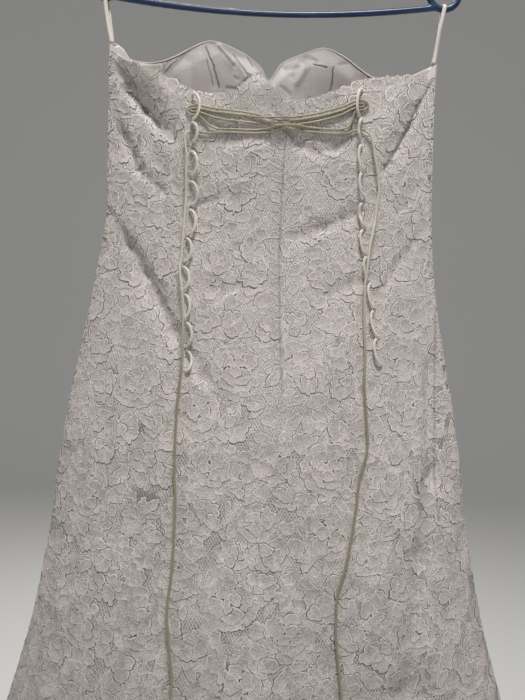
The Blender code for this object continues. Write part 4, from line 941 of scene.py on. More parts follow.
def cup_material(name):
    """Satin of the cups: dull, with painted shade along the sharp lines of its seams and gathers."""
    _, colours = dress_settings()
    material, tree, shader = new_material(name)
    place = object_place(tree)
    # painted shade along the cups' seams, creases and dents; the same lines dent the bump
    dark = darkest_line(place, CUP_SHADE_LINES, CUP_LINE_WANDER)
    cloth = satin_look(tree, place, colours.satin_dark, colours.satin)
    slub = place.noise(SLUB_FINE_NOISE) + place.noise(SLUB_BROAD_NOISE)
    feed(tree, shader, {
        "Base Color": dark.mix(cloth, colour(colours.satin_crease_shade)), "Sheen Weight": 0.25,
        "Normal": (slub * 0.25 - dark).bump(0.8, 0.0012), "Roughness": 0.52, "Sheen Roughness": 0.35,
    })
    return material


def plastic_material(name):
    """Glossy coloured plastic with fine scuffs and a faint orange-peel surface."""
    _, colours = dress_settings()
    material, tree, shader = new_material(name)
    place = object_place(tree)
    tone = cloth_tone(tree, Place=place, Broad=PLASTIC_TONES[0], Fine=PLASTIC_TONES[1])[0]
    scuff = place.stretched(SCUFF_STRETCH).noise(SCUFF_NOISE, 3.0).spread(*SCUFF_RANGE)
    rubbed = tone.spread(*PLASTIC_TONE_RANGE)
    feed(tree, shader, {
        "Base Color": rubbed.mix(colour(colours.plastic), colour(colours.plastic_worn)),
        "Roughness": scuff * SCUFF_ROUGHNESS + PLASTIC_ROUGHNESS, "Coat Weight": 0.1, "Coat Roughness": 0.15,
        "Normal": place.noise(PEEL_NOISE, 1.0).bump(0.12, 0.0006),
    })
    return material


# the plain satins: low is a satin's colour in the skirt, all over or in patches, painted shade that darkens
# it towards the bottom
Satin = namedtuple("Satin", "base dark rough low patched")
SATINS = {
    # the cord across the back is coloured darker than the same cord's tails, as painted shade
    "cord_satin": Satin("cord", "cord_dark_and_shaded", 0.42, None, False),
    "tail_satin": Satin("ribbon_dark", "tail", 0.42, "cord_dark_and_shaded", False),
    "ribbon_satin": Satin("ribbon", "ribbon_dark", 0.36, None, False),
    "lining_satin": Satin("lining", "lining_dark", 0.45, "lining_shaded", True),
    "edging_satin": Satin("satin", "satin_dark", 0.5, None, False),
}
MATERIALS = {
    "lace_net": net_material, "lace_motif": motif_material, "cup_satin": cup_material,
    "hanger_plastic": plastic_material, **dict.fromkeys(SATINS, satin_material),
}


def kept_material(name):
    """The material of this name, made when it is first asked for."""
    return bpy.data.materials.get(name) or MATERIALS[name](name)


# ================================================================ cloth panels
Panel = namedtuple("Panel", "name node side seams columns")


def back_seam(name):
    return lambda z: getattr(smooth_rows(BACK_SEAMS, z), name)


def fixed_seam(station):
    return lambda z: np.full(np.shape(z), station)


BACK_LEFT, BACK_CENTRE, BACK_RIGHT = back_seam("left"), back_seam("centre"), back_seam("right")
LEFT_SIDE, RIGHT_SIDE = fixed_seam(0.0), fixed_seam(1.0)
FRONT_LEFT, FRONT_RIGHT = fixed_seam(FRONT_SEAM), fixed_seam(1 - FRONT_SEAM)
CUP_LEFT, CUP_RIGHT, CUP_MIDDLE = fixed_seam(CUP_SEAM), fixed_seam(1 - CUP_SEAM), fixed_seam(CUP_CENTRE)
CUP_COLUMNS = 130
LACE_PANELS = rows_of(Panel, (
    ("net_back_side_left", "lace_back_side_left", -1, [LEFT_SIDE, BACK_LEFT], [26]),
    ("net_back_centre_left", "lace_back_centre_left", -1, [BACK_LEFT, BACK_CENTRE], [28]),
    ("net_back_centre_right", "lace_back_centre_right", -1, [BACK_CENTRE, BACK_RIGHT], [24]),
    ("net_back_side_right", "lace_back_side_right", -1, [BACK_RIGHT, RIGHT_SIDE], [24]),
    ("net_front_side_left", "lace_front_side_left", 1, [LEFT_SIDE, FRONT_LEFT], [26]),
    ("net_front_centre", "lace_front_centre", 1, [FRONT_LEFT, CUP_MIDDLE, FRONT_RIGHT], [22, 22]),
    ("net_front_side_right", "lace_front_side_right", 1, [FRONT_RIGHT, RIGHT_SIDE], [26]),
))
SATIN_PANELS = rows_of(Panel, (
    ("lining_back_left", "satin_back_left", -1, [LEFT_SIDE, BACK_LEFT, BACK_CENTRE], [14, 14]),
    ("lining_back_right", "satin_back_right", -1, [BACK_CENTRE, BACK_RIGHT, RIGHT_SIDE], [12, 12]),
    ("lining_front_side_left", "satin_front_side_left", 1, [LEFT_SIDE, CUP_LEFT], [10]),
    ("lining_front_side_right", "satin_front_side_right", 1, [CUP_RIGHT, RIGHT_SIDE], [10]),
))
UNDER_CUP_PANEL = Panel("lining_front", "satin_front", 1, [CUP_LEFT, CUP_MIDDLE, CUP_RIGHT], [20, 20])
CUP_PANELS = rows_of(Panel, (
    ("cup_lining_left", "satin_cup_left", 1, [CUP_LEFT, CUP_MIDDLE], [CUP_COLUMNS]),
    ("cup_lining_right", "satin_cup_right", 1, [CUP_MIDDLE, CUP_RIGHT], [CUP_COLUMNS]),
))
NET_ROWS = 150
SATIN_ROWS = 80
CUP_ROWS = 72
NET_FACE = 0.0004
OPEN_FROM_Z = -0.44
OPEN_RANGE = 0.3
OPEN_SIDE = 0.07
OPEN_LEAST = 0.2
SATIN_SKIN_WALL = 0.0006
ROW_CROWDING = 1.35


def lace_top(side):
    return lambda station: top_height(side, station)


def satin_top(side):
    return lambda station: top_height(side, station) - SATIN_DROP


def level(z):
    return lambda station: np.full(np.shape(station), z)


def cup_bottom(station):
    return edge_height(UNDER_CUP_EDGE, station) + UNDER_CUP_GAP / 2


def under_cup_top(station):
    return edge_height(UNDER_CUP_EDGE, station) - UNDER_CUP_GAP / 2


def seam_heights(station_of, top, bottom, fraction):
    """Station of a seam in one row, whose height depends on that station."""
    station = np.full(1, station_of(np.full(1, -0.6))[0])
    for _ in range(4):
        z = (1 - fraction) * top(station) + fraction * bottom(station)
        station = station_of(z)
    return float(station[0])


def panel_places(seams, counts, top, bottom, fractions):
    """Stations and heights of a panel's points: a row for each fraction of the way down."""
    stations = []
    for fraction in fractions:
        at = [seam_heights(seam, top, bottom, fraction) for seam in seams]
        row = [at[0]]
        for start, end, count in zip(at, at[1:], counts):
            row += list(np.linspace(start, end, count + 1)[1:])
        stations.append(row)
    stations = np.array(stations)
    share = np.array(fractions)[:, None]
    return stations, (1 - share) * top(stations) + share * bottom(stations)


def opening_share(stations, heights):
    """How open the net is: little in the bodice, more down the skirt and beside the side seams."""
    low = soft_step((OPEN_FROM_Z - heights) / OPEN_RANGE)
    beside = soft_step((OPEN_SIDE - np.minimum(stations, 1 - stations)) / OPEN_SIDE)
    return OPEN_LEAST + (1 - OPEN_LEAST) * low * (0.55 + 0.45 * beside)


def cloth_mesh(name, side, stations, heights, base, lining):
    """An open grid laid on the skin, facing out, with its flat place as a UV map; and its points."""
    places = skin(side, stations, heights, lining)
    if base:
        places = places + base * outward(side, stations, heights)
    run = lengths_along(places, 1)
    run -= run[:, [run.shape[1] // 2]]
    share = opening_share(stations, heights)
    grid, row, column = grid_shape(places[:, ::-side])
    mesh = finished_mesh(name, grid)
    set_flat_map(mesh, np.stack([run, heights], axis=-1)[:, ::-side][row, column])
    finish = np.stack([share, share, share, np.ones_like(share)], axis=-1)
    set_finish_and_painted_light(mesh, finish[:, ::-side][row, column])
    return mesh, places


def panel_cut(places):
    """Width, length and area of a panel's cut, from its points."""
    across = np.linalg.norm(np.diff(places, axis=1), axis=2)
    down = np.linalg.norm(np.diff(places, axis=0), axis=2)
    width, length = across.sum(axis=1).max(), down.sum(axis=0).max()
    area = (0.25 * (across[:-1] + across[1:]) * (down[:, :-1] + down[:, 1:])).sum()
    return width, length, area


def add_wall(piece, thickness):
    wall = piece.modifiers.new("wall", "SOLIDIFY")
    wall.thickness = thickness
    wall.offset = 1.0
    wall.use_even_offset = False


def add_cloth(panel, top, bottom, rows, base, wall, material, lining=False):
    """One panel of cloth, laid as a grid between its seams, with a wall when one is given."""
    fractions = [(step / rows) ** ROW_CROWDING for step in range(rows + 1)]
    stations, heights = panel_places(panel.seams, panel.columns, top, bottom, fractions)
    mesh, places = cloth_mesh(panel.name, panel.side, stations, heights, base, lining)
    piece = add_piece(mesh, material, [panel.node])
    if wall:
        add_wall(piece, wall)
    width, length, area = panel_cut(places)
    min(area, width * length)


# ================================================================ lace motifs
FLAT_ROWS, FLAT_COLUMNS, FLAT_STATIONS = 150, 441, 241
FLAT_REACH = 0.66


class FlatCloth:
    """One side's cloth laid flat: distance from its centre seam, by height, and back to stations."""

    def __init__(self, side, centre):
        self.side = side
        self.heights = np.linspace(HEM_Z, TOP_Z, FLAT_ROWS)
        self.reach = np.linspace(-FLAT_REACH, FLAT_REACH, FLAT_COLUMNS)
        stations = np.linspace(0, 1, FLAT_STATIONS)
        points = skin(side, stations[None, :], self.heights[:, None])
        self.table, self.left, self.right = [], [], []
        for z, run in zip(self.heights, lengths_along(points, 1)):
            run = run - np.interp(centre(np.array([z]))[0], stations, run)
            pace = run[-1] - run[0]
            found = np.interp(self.reach, run, stations)
            found = np.where(self.reach < run[0], (self.reach - run[0]) / pace, found)
            found = np.where(self.reach > run[-1], 1 + (self.reach - run[-1]) / pace, found)
            self.table.append(found)
            self.left.append(run[0])
            self.right.append(run[-1])
        self.table = np.array(self.table)

    def stations(self, run, z):
        """Stations at these distances from the centre seam and heights."""
        row = (z - self.heights[0]) / (self.heights[1] - self.heights[0])
        column = (run - self.reach[0]) / (self.reach[1] - self.reach[0])
        row = np.clip(row, 0, len(self.heights) - 1.001)
        column = np.clip(column, 0, len(self.reach) - 1.001)
        i, j = row.astype(int), column.astype(int)
        u, v = row - i, column - j
        return (
            (1 - u) * (1 - v) * self.table[i, j]
            + (1 - u) * v * self.table[i, j + 1]
            + u * (1 - v) * self.table[i + 1, j]
            + u * v * self.table[i + 1, j + 1]
        )

    def limits(self, z):
        return np.interp(z, self.heights, self.left), np.interp(z, self.heights, self.right)


# outlines of the petals: lobes scallop the rim over a share of the turn about the tip, point makes
# both ends sharper, and flare makes the tip broader than the base
PetalShape = namedtuple("PetalShape", "lobes lobe_points lobe_turn notch point flare base_points")
PETAL_SHAPES = {
    "fan": PetalShape(5, 4, 0.66, 0.2, 1.0, 0.32, 3),
    "shell": PetalShape(4, 4, 0.64, 0.2, 1.0, 0.24, 3),
    "cloud": PetalShape(3, 4, 0.62, 0.2, 1.0, 0.16, 3),
    "plain": PetalShape(0, 0, 0.0, 0.0, 1.0, 0.18, 12),
    "leaf": PetalShape(5, 3, 0.84, 0.15, 1.4, -0.05, 3),
    "bud": PetalShape(0, 0, 0.0, 0.0, 1.0, 0.0, 8),
}
# each ring of a petal's rim, outside in: how far in, how high, the share of painted highlight along the cord
# and of painted shade at its foot
Rim = namedtuple("Rim", "inset rise ridge foot")
RIM = rows_of(Rim, (
    (-0.0012, -0.00032, 0.0, 1.0), (0.0002, 0.00032, 1.0, 0.0), (0.0011, 0.0, 0.0, 0.1),
))
CORD_SPAN = 0.0017
FILL_RISE = 0.00008
LAYER_RISE = 0.00024
SMALL_PETAL = 0.008
UNEVEN = 0.09
CUPPED = 0.0001
STRAND_STEPS = 6
RING_TURN = 0.7
RING_STAGGER = 0.5
VEIN_START, VEIN_LENGTH, VEIN_SPAN = 0.08, 0.76, 0.75

Petal = namedtuple("Petal", "kind run z turn width length layer tone bend")
Ring = namedtuple("Ring", "kind count base length width layer")
ROSES = {
    "wide_rose": rows_of(Ring, (
        ("fan", 7, 0.48, 0.54, 0.88, 0), ("shell", 5, 0.25, 0.48, 0.74, 1.0),
        ("cloud", 3, 0.04, 0.4, 0.54, 2.0), ("bud", 1, -0.09, 0.19, 0.19, 3.0),
    )),
    "rose": rows_of(Ring, (
        ("fan", 5, 0.34, 0.68, 1.14, 0), ("shell", 3, 0.08, 0.56, 0.86, 1.0),
        ("bud", 1, -0.12, 0.25, 0.25, 2.0),
    )),
    "flower": rows_of(Ring, (
        ("shell", 5, 0.14, 0.88, 1.08, 0), ("bud", 1, -0.18, 0.36, 0.36, 1.4),
    )),
}
Leaning = namedtuple("Leaning", "kind lean base length width layer")
SPRAYS = {
    "fan_flower": rows_of(Leaning, (
        ("shell", -1.25, 0.05, 1.2, 0.95, 0.0), ("shell", 1.25, 0.05, 1.2, 0.95, 0.2),
        ("fan", -0.55, 0.15, 1.6, 1.15, 0.9), ("fan", 0.6, 0.15, 1.55, 1.15, 1.2),
        ("fan", 0.02, 0.2, 1.75, 1.2, 2.0), ("cloud", 0.1, 0.05, 0.75, 0.8, 3.0),
    )),
    "spray": rows_of(Leaning, (
        ("leaf", -0.66, 0.0, 1.55, 0.8, 0.0), ("leaf", 0.66, 0.0, 1.55, 0.8, 0.3),
        ("leaf", 0.0, 0.05, 1.95, 0.92, 1.2),
    )),
    "leaf": [Leaning("leaf", 0.0, 0.0, 2.0, 1.15, 0.0)],
    "cloud": [Leaning("cloud", 0.0, 0.0, 2.0, 2.0, 0.0)],
    "bud": [Leaning("plain", 0.0, 0.0, 2.0, 1.8, 0.0)],
}
Scatter = namedtuple("Scatter", "motif smallest largest spacing tries low high")
SCATTERS = rows_of(Scatter, (
    ("wide_rose", 0.027, 0.0335, 0.96, 420, -1.44, -0.6),
    ("rose", 0.02, 0.025, 0.93, 900, -1.45, -0.3),
    ("fan_flower", 0.014, 0.0185, 0.86, 3000, -1.45, -0.245),
    ("flower", 0.012, 0.016, 0.85, 3000, -1.45, -0.235),
    ("spray", 0.011, 0.014, 0.84, 2600, -1.452, -0.235),
    ("cloud", 0.0076, 0.0104, 0.82, 6000, -1.454, -0.228),
    ("leaf", 0.0076, 0.0106, 0.82, 4000, -1.454, -0.23),
    ("bud", 0.0036, 0.0052, 0.86, 6000, -1.456, -0.226),
))
FRONT_SIZE = 1.12
OVERHANG = 0.0026
NECK_MARGIN = 0.0006
EDGE_STEP = 0.0105
EDGE_MOTIFS = ("cloud", "leaf", "cloud", "bud", "spray")
LEANS_OUT = ("spray", "leaf", "bud", "fan_flower", "cloud")
STEM_SHARE = 0.35
SIDE_SPARSE = 0.03
SIDE_KEPT = 0.45
Chevron = namedtuple("Chevron", "z size left right")
CHEVRONS = rows_of(Chevron, (
    (-0.362, 0.0086, 1.0, 1.05), (-0.38, 0.0092, 1.1, 0.85), (-0.399, 0.0088, 0.9, 1.15),
    (-0.418, 0.0098, 1.05, 1.0), (-0.44, 0.0094, 0.85, 0.95), (-0.497, 0.0104, 0.9, 1.05),
    (-0.52, 0.0096, 1.0, 0.85), (-0.64, 0.011, 0.9, 1.0), (-0.664, 0.0114, 1.05, 0.9),
))
CHEVRON_GAP = 0.001
CHEVRON_LIFT = 0.3
SEAM_STITCH = 0.016
SEAM_STITCH_TOP = -0.318
SEAM_STITCH_LOW = -0.66
SEAM_STITCH_X = 0.0006
SPARSE_BELOW_Z = -0.55
TOP_MARGIN_SHARE = 0.45
EDGE_SIZES = (0.0042, 0.0086)
EDGE_LEAN = 1.3
EDGE_LIFT, SCATTER_LIFT = 0.8, 0.6
OUTWARD_SWAY = 0.5
STEM_LENGTHS = (0.016, 0.032)
HEM_MARGIN = 0.0008
Wave = namedtuple("Wave", "across up amount_across amount_up phase")
SWIRL, SWIRL_ACROSS, SWIRL_UP = 1.5, -70, 90
WAVES = rows_of(Wave, (
    (170, 60, 0.0016, 0.0004, 0.3), (-70, 190, 0.0005, 0.0015, 1.7), (330, 270, 0.0008, -0.0007, 0.9),
    (-420, 310, 0.0006, 0.0006, 2.6), (820, -640, 0.0003, 0.0003, 1.1),
))


def outline_point(shape, turn):
    """A point of a petal's unit outline. The turn goes from 0 at the tip, once round to 1."""
    angle = math.tau * turn
    half = turn if turn < 0.5 else turn - 1
    swell = 1.0
    if shape.lobes and abs(half) < shape.lobe_turn / 2 + 1e-6:
        phase = (half / shape.lobe_turn + 0.5) * shape.lobes
        swell = 1 - shape.notch + shape.notch * math.sqrt(max(0.0, 1 - (2 * (phase % 1.0) - 1) ** 2))
    across = math.sin(angle)
    across = math.copysign(abs(across) ** shape.point, across) * (1 + shape.flare * math.cos(angle))
    return 0.5 * swell * across, 0.5 + 0.5 * swell * math.cos(angle)


def outline_turns(shape):
    """Where the outline's points lie, with one in each notch between lobes."""
    if not shape.lobes:
        return [step / shape.base_points for step in range(shape.base_points)]
    steps = shape.lobes * shape.lobe_points
    start = -shape.lobe_turn / 2
    turns = [start + shape.lobe_turn * step / steps for step in range(steps + 1)]
    rest = 1 - shape.lobe_turn
    turns += [
        shape.lobe_turn / 2 + rest * step / (shape.base_points + 1)
        for step in range(1, shape.base_points + 1)
    ]
    return [turn % 1.0 for turn in turns]


class PetalPattern:
    """A petal's mesh, to be repeated: a disc inset twice, whose points know their ring and place."""

    def __init__(self, kind):
        shape = PETAL_SHAPES[kind]
        turns = outline_turns(shape)
        points = np.array([outline_point(shape, turn) for turn in turns])
        count = len(turns)
        disc = bmesh.new()
        bmesh.ops.create_circle(disc, cap_ends=True, segments=count, radius=1.0)
        for _ in RIM[1:]:
            middle = [face for face in disc.faces if len(face.verts) == count]
            bmesh.ops.inset_individual(disc, faces=middle, thickness=0.1)
        angles = np.array([math.atan2(vert.co.y, vert.co.x) for vert in disc.verts])
        radii = np.array([vert.co.length for vert in disc.verts])
        places = np.rint(angles / math.tau * count).astype(int) % count
        rings = np.argsort(np.argsort(-radii, kind="stable"), kind="stable") // count
        bmesh.ops.recalc_face_normals(disc, faces=disc.faces)
        disc.faces.ensure_lookup_table()
        if disc.faces[0].normal.z > 0:
            bmesh.ops.reverse_faces(disc, faces=disc.faces)
        self.mesh = finished_mesh(f"pattern_{kind}", disc)
        self.points = points[places]
        self.inset, self.rise, self.ridge, self.foot = np.array([RIM[ring] for ring in rings]).T

    def lay(self, width, length, layer, bend, dice):
        """Places across and along each petal, and heights above the net."""
        size = np.stack([width, length], axis=-1)[:, None, :]
        outline = self.points[None] * size
        spoke = outline - np.array([0.0, 0.5]) * size
        reach = np.maximum(np.linalg.norm(spoke, axis=-1, keepdims=True), 1e-6)
        around = np.arctan2(spoke[..., 0], spoke[..., 1])[..., None]
        phases = dice.uniform(0, math.tau, (2, len(width), 1, 1))
        uneven = np.cos(2 * around + phases[0]) + 0.7 * np.cos(3 * around + phases[1])
        shrink = np.minimum(1.0, np.minimum(width, length) / SMALL_PETAL)[:, None, None]
        inward = self.inset[None, :, None] * shrink / reach
        local = outline + spoke * (UNEVEN * uneven * 0.5 - inward)
        tip = soft_step(self.points[None, :, 1] / 0.4)
        cupped = CUPPED * np.abs(2 * self.points[None, :, 0])
        fill = FILL_RISE + LAYER_RISE * layer[:, None] + cupped
        ridge = np.maximum(self.rise, 0)[None] * (0.25 + 0.75 * tip) * shrink[..., 0]
        return local, fill + ridge + np.minimum(self.rise, 0)[None]


class StrandPattern:
    """A bare cord's mesh, to be repeated: a narrow strip with a raised middle."""

    def __init__(self):
        strip = bmesh.new()
        bmesh.ops.create_grid(strip, x_segments=2, y_segments=STRAND_STEPS, size=0.5)
        self.points = np.array([(vert.co.x, vert.co.y + 0.5) for vert in strip.verts])
        bmesh.ops.reverse_faces(strip, faces=strip.faces)
        self.mesh = finished_mesh("pattern_strand", strip)
        # the strand's raised middle carries the painted highlight
        self.ridge = (np.abs(self.points[:, 0]) < 0.1).astype(float)
        # painted shade along both sides of the strand's raised middle
        self.foot = 0.8 * (1 - self.ridge)

    def lay(self, width, length, layer, bend, dice):
        along = self.points[None, :, 1]
        taper = np.sqrt(np.clip(4 * along * (1 - along), 0.02, 1))
        across = self.points[None, :, 0] * width[:, None] * taper
        curve = bend[:, None] * length[:, None] * 4 * along * (1 - along)
        local = np.stack([across + curve, along * length[:, None]], axis=-1)
        fill = FILL_RISE + LAYER_RISE * layer[:, None]
        return local, fill + np.where(self.ridge[None] > 0, RIM[1].rise, RIM[0].rise)


def ring_petals(rings, run, z, size, turn, lift, rng):
    """The petals of a flower, ring by ring from its rim to its middle."""
    petals = []
    for number, ring in enumerate(rings):
        start = turn + RING_TURN * number
        for step in range(ring.count):
            angle = start + math.tau * step / ring.count + rng.uniform(-0.12, 0.12)
            base = ring.base * size * rng.uniform(0.92, 1.06)
            petals.append(Petal(
                ring.kind, run + base * math.sin(angle), z + base * math.cos(angle), angle,
                ring.width * size * rng.uniform(0.9, 1.08), ring.length * size * rng.uniform(0.9, 1.1),
                lift + ring.layer + RING_STAGGER * (step % 2), rng.random(), 0.0,
            ))
    return petals


def spray_petals(leanings, run, z, size, turn, lift, rng):
    """Petals or scalloped leaves that lean out of one shared base; a leaf has a cord along its middle."""
    petals = []
    foot_run, foot_z = run - size * math.sin(turn), z - size * math.cos(turn)
    for leaning in leanings:
        angle = turn + leaning.lean + rng.uniform(-0.08, 0.08)
        reach = leaning.base * size
        start = foot_run + reach * math.sin(angle), foot_z + reach * math.cos(angle)
        length = leaning.length * size * rng.uniform(0.92, 1.06)
        tone, layer = rng.random(), lift + leaning.layer
        width = leaning.width * size * rng.uniform(0.92, 1.06)
        petals.append(Petal(leaning.kind, *start, angle, width, length, layer, tone, 0.0))
        if leaning.kind == "leaf":
            petals.append(Petal(
                "strand", start[0] + VEIN_START * length * math.sin(angle),
                start[1] + VEIN_START * length * math.cos(angle), angle, CORD_SPAN * VEIN_SPAN,
                VEIN_LENGTH * length, layer, tone, rng.uniform(-0.03, 0.03),
            ))
    return petals


def motif_petals(motif, run, z, size, turn, lift, rng):
    if motif in ROSES:
        return ring_petals(ROSES[motif], run, z, size, turn, lift, rng)
    return spray_petals(SPRAYS[motif], run, z, size, turn, lift, rng)


def edge_motifs(flat, rng):
    """Scalloped petals in a row along the back's top edge, reaching just above it."""
    found = []
    run = flat.reach[0]
    while run < flat.reach[-1]:
        size = rng.uniform(*EDGE_SIZES)
        run += EDGE_STEP * rng.uniform(0.75, 1.6)
        z = TOP_Z
        for _ in range(4):
            z = float(top_height(flat.side, flat.stations(np.array(run), np.array(z))))
        left, right = flat.limits(z)
        if left < run < right:
            lean, drop = rng.uniform(-EDGE_LEAN, EDGE_LEAN), rng.uniform(0.7, 1.15)
            motif = rng.choice(EDGE_MOTIFS)
            found.append((motif, run, z - size * drop, size, lean, EDGE_LIFT * rng.random()))
    return found


def scatter_motifs(flat, rng):
    """Fills one side with motifs, the largest first, each clear of those before it."""
    found, taken = [], np.zeros((0, 3))
    if flat.side < 0:
        for motif in edge_motifs(flat, rng):
            found.append(motif)
            taken = np.vstack([taken, motif[1:4]])
        for row in CHEVRONS:
            for side, lean in ((-1, row.left), (1, row.right)):
                run = side * (row.size + CHEVRON_GAP)
                motif = ("leaf", run, row.z, row.size, side * lean, CHEVRON_LIFT)
                found.append(motif)
                taken = np.vstack([taken, motif[1:4]])
    coarse = FRONT_SIZE if flat.side > 0 else 1.0
    for scatter in SCATTERS:
        for _ in range(int(scatter.tries / coarse**2)):
            z = rng.uniform(scatter.low, scatter.high)
            run = rng.uniform(flat.reach[20], flat.reach[-20])
            size = coarse * rng.uniform(scatter.smallest, scatter.largest)
            turn, lift, kept = rng.uniform(0, math.tau), rng.random(), rng.random()
            left, right = flat.limits(z)
            if not left < run < right:
                continue
            if min(run - left, right - run) < SIDE_SPARSE and z < SPARSE_BELOW_Z and kept > SIDE_KEPT:
                continue
            top = float(top_height(flat.side, flat.stations(np.array(run), np.array(z))))
            if z > top - TOP_MARGIN_SHARE * size:
                continue
            away = np.hypot(taken[:, 0] - run, taken[:, 1] - z)
            if (away < scatter.spacing * (taken[:, 2] + size)).any():
                continue
            if scatter.motif in LEANS_OUT and len(taken):
                nearest = taken[np.argmin(away - taken[:, 2])]
                turn = math.atan2(run - nearest[0], z - nearest[1]) + OUTWARD_SWAY * math.sin(turn)
            found.append((scatter.motif, run, z, size, turn, SCATTER_LIFT * lift))
            taken = np.vstack([taken, (run, z, size)])
    return found


def seam_strands(rng):
    """A narrow cord along the centre back seam."""
    strands = []
    z = SEAM_STITCH_TOP
    while z > SEAM_STITCH_LOW:
        strands.append(Petal(
            "strand", SEAM_STITCH_X, z - SEAM_STITCH * 1.1, 0.0, CORD_SPAN, SEAM_STITCH * 1.2,
            1.2, 0.9, rng.uniform(-0.02, 0.02),
        ))
        z -= SEAM_STITCH
    return strands


def strand_petals(motifs, rng):
    """Bare cords that wind over the net from one motif to the next."""
    strands = []
    for motif, run, z, size, turn, _ in motifs:
        if motif != "bud" and rng.random() < STEM_SHARE:
            strands.append(Petal(
                "strand", run - size * math.sin(turn), z - size * math.cos(turn),
                turn + math.pi + rng.uniform(-0.7, 0.7), CORD_SPAN, rng.uniform(*STEM_LENGTHS), 0, 0.5,
                rng.uniform(-0.3, 0.3),
            ))
    return strands


def wandering(run, z):
    """The same places, moved a little so that no two petals are alike."""
    moved_run, moved_z = run.copy(), z.copy()
    swirl = SWIRL * np.sin(SWIRL_UP * z + SWIRL_ACROSS * run)
    for wave in WAVES:
        swing = np.sin(wave.across * run + wave.up * z + wave.phase + swirl)
        moved_run += wave.amount_across * swing
        moved_z += wave.amount_up * swing
    return moved_run, moved_z


def lay_petals(name, flat, petals, patterns, seed):
    """One mesh of all these petals, laid on the cloth."""
    dice = np.random.default_rng(seed)
    joined = bmesh.new()
    places, finish, flats = [], [], []
    for kind, pattern in patterns.items():
        chosen = [petal for petal in petals if petal.kind == kind]
        if not chosen:
            continue
        for _ in chosen:
            joined.from_mesh(pattern.mesh)
        rows = {
            field: np.array([getattr(petal, field) for petal in chosen])
            for field in ("run", "z", "turn", "width", "length", "layer", "tone", "bend")
        }
        local, height = pattern.lay(rows["width"], rows["length"], rows["layer"], rows["bend"], dice)
        sine, cosine = np.sin(rows["turn"])[:, None], np.cos(rows["turn"])[:, None]
        run, z = wandering(
            rows["run"][:, None] + local[..., 0] * cosine + local[..., 1] * sine,
            rows["z"][:, None] - local[..., 0] * sine + local[..., 1] * cosine,
        )
        station = flat.stations(run, z)
        above = OVERHANG if flat.side < 0 else -NECK_MARGIN
        z = np.clip(z, HEM_Z + HEM_MARGIN, top_height(flat.side, station) + above)
        rise = NET_FACE + height
        spot = skin(flat.side, station, z) + rise[..., None] * outward(flat.side, station, z)
        places.append(spot.reshape(-1, 3))
        finish.append(np.stack([
            np.broadcast_to(values, height.shape)
            for values in (pattern.ridge[None], rows["tone"][:, None], pattern.foot[None], 1.0)
        ], axis=-1).reshape(-1, 4))
        flats.append(local.reshape(-1, 2))
    mesh = finished_mesh(name, joined)
    mesh.vertices.foreach_set("co", np.vstack(places).astype(np.float32).ravel())
    set_finish_and_painted_light(mesh, np.vstack(finish))
    set_flat_map(mesh, np.vstack(flats))
    mesh.update()
    return mesh


def panel_of(panels, stations, heights):
    """Number of the panel that each place lies in."""
    owner = np.zeros(len(stations), dtype=int)
    for number, panel in enumerate(panels):
        inside = (stations >= panel.seams[0](heights)) & (stations < panel.seams[-1](heights))
        owner[inside] = number
    owner[stations >= 1] = len(panels) - 1
    return owner


# ================================================================ settings
def length_setting(name, description, default, least, most):
    return FloatProperty(name=name, description=description, default=default, min=least, max=most,
                         subtype="DISTANCE", unit="LENGTH")


def colour_setting(name, description, default):
    return FloatVectorProperty(name=name, description=description, default=default, size=3, min=0, max=1,
                               subtype="COLOR")


class DressSizes(bpy.types.PropertyGroup):
    """Sizes of the lace, the lacing, the ribbons and the hanger, and the seed of the lace's pattern."""

    net_pitch: length_setting(
        "Net pitch", "Distance between two strands of the lace's net", 0.0034, 0.001, 0.02)
    cord_twist: length_setting(
        "Cord twist", "Length of one turn of the lacing's twist", 0.03, 0.002, 0.2)
    ribbon_width: length_setting(
        "Ribbon width", "Width of the hanger ribbons", 0.0043, 0.003, 0.02)
    hanger_tube: length_setting(
        "Hanger tube", "Diameter of the hanger's tube", 0.008, 0.004, 0.02)
    pattern_seed: IntProperty(
        name="Pattern seed", description="Which scatter of flowers the lace has", default=7, min=0)


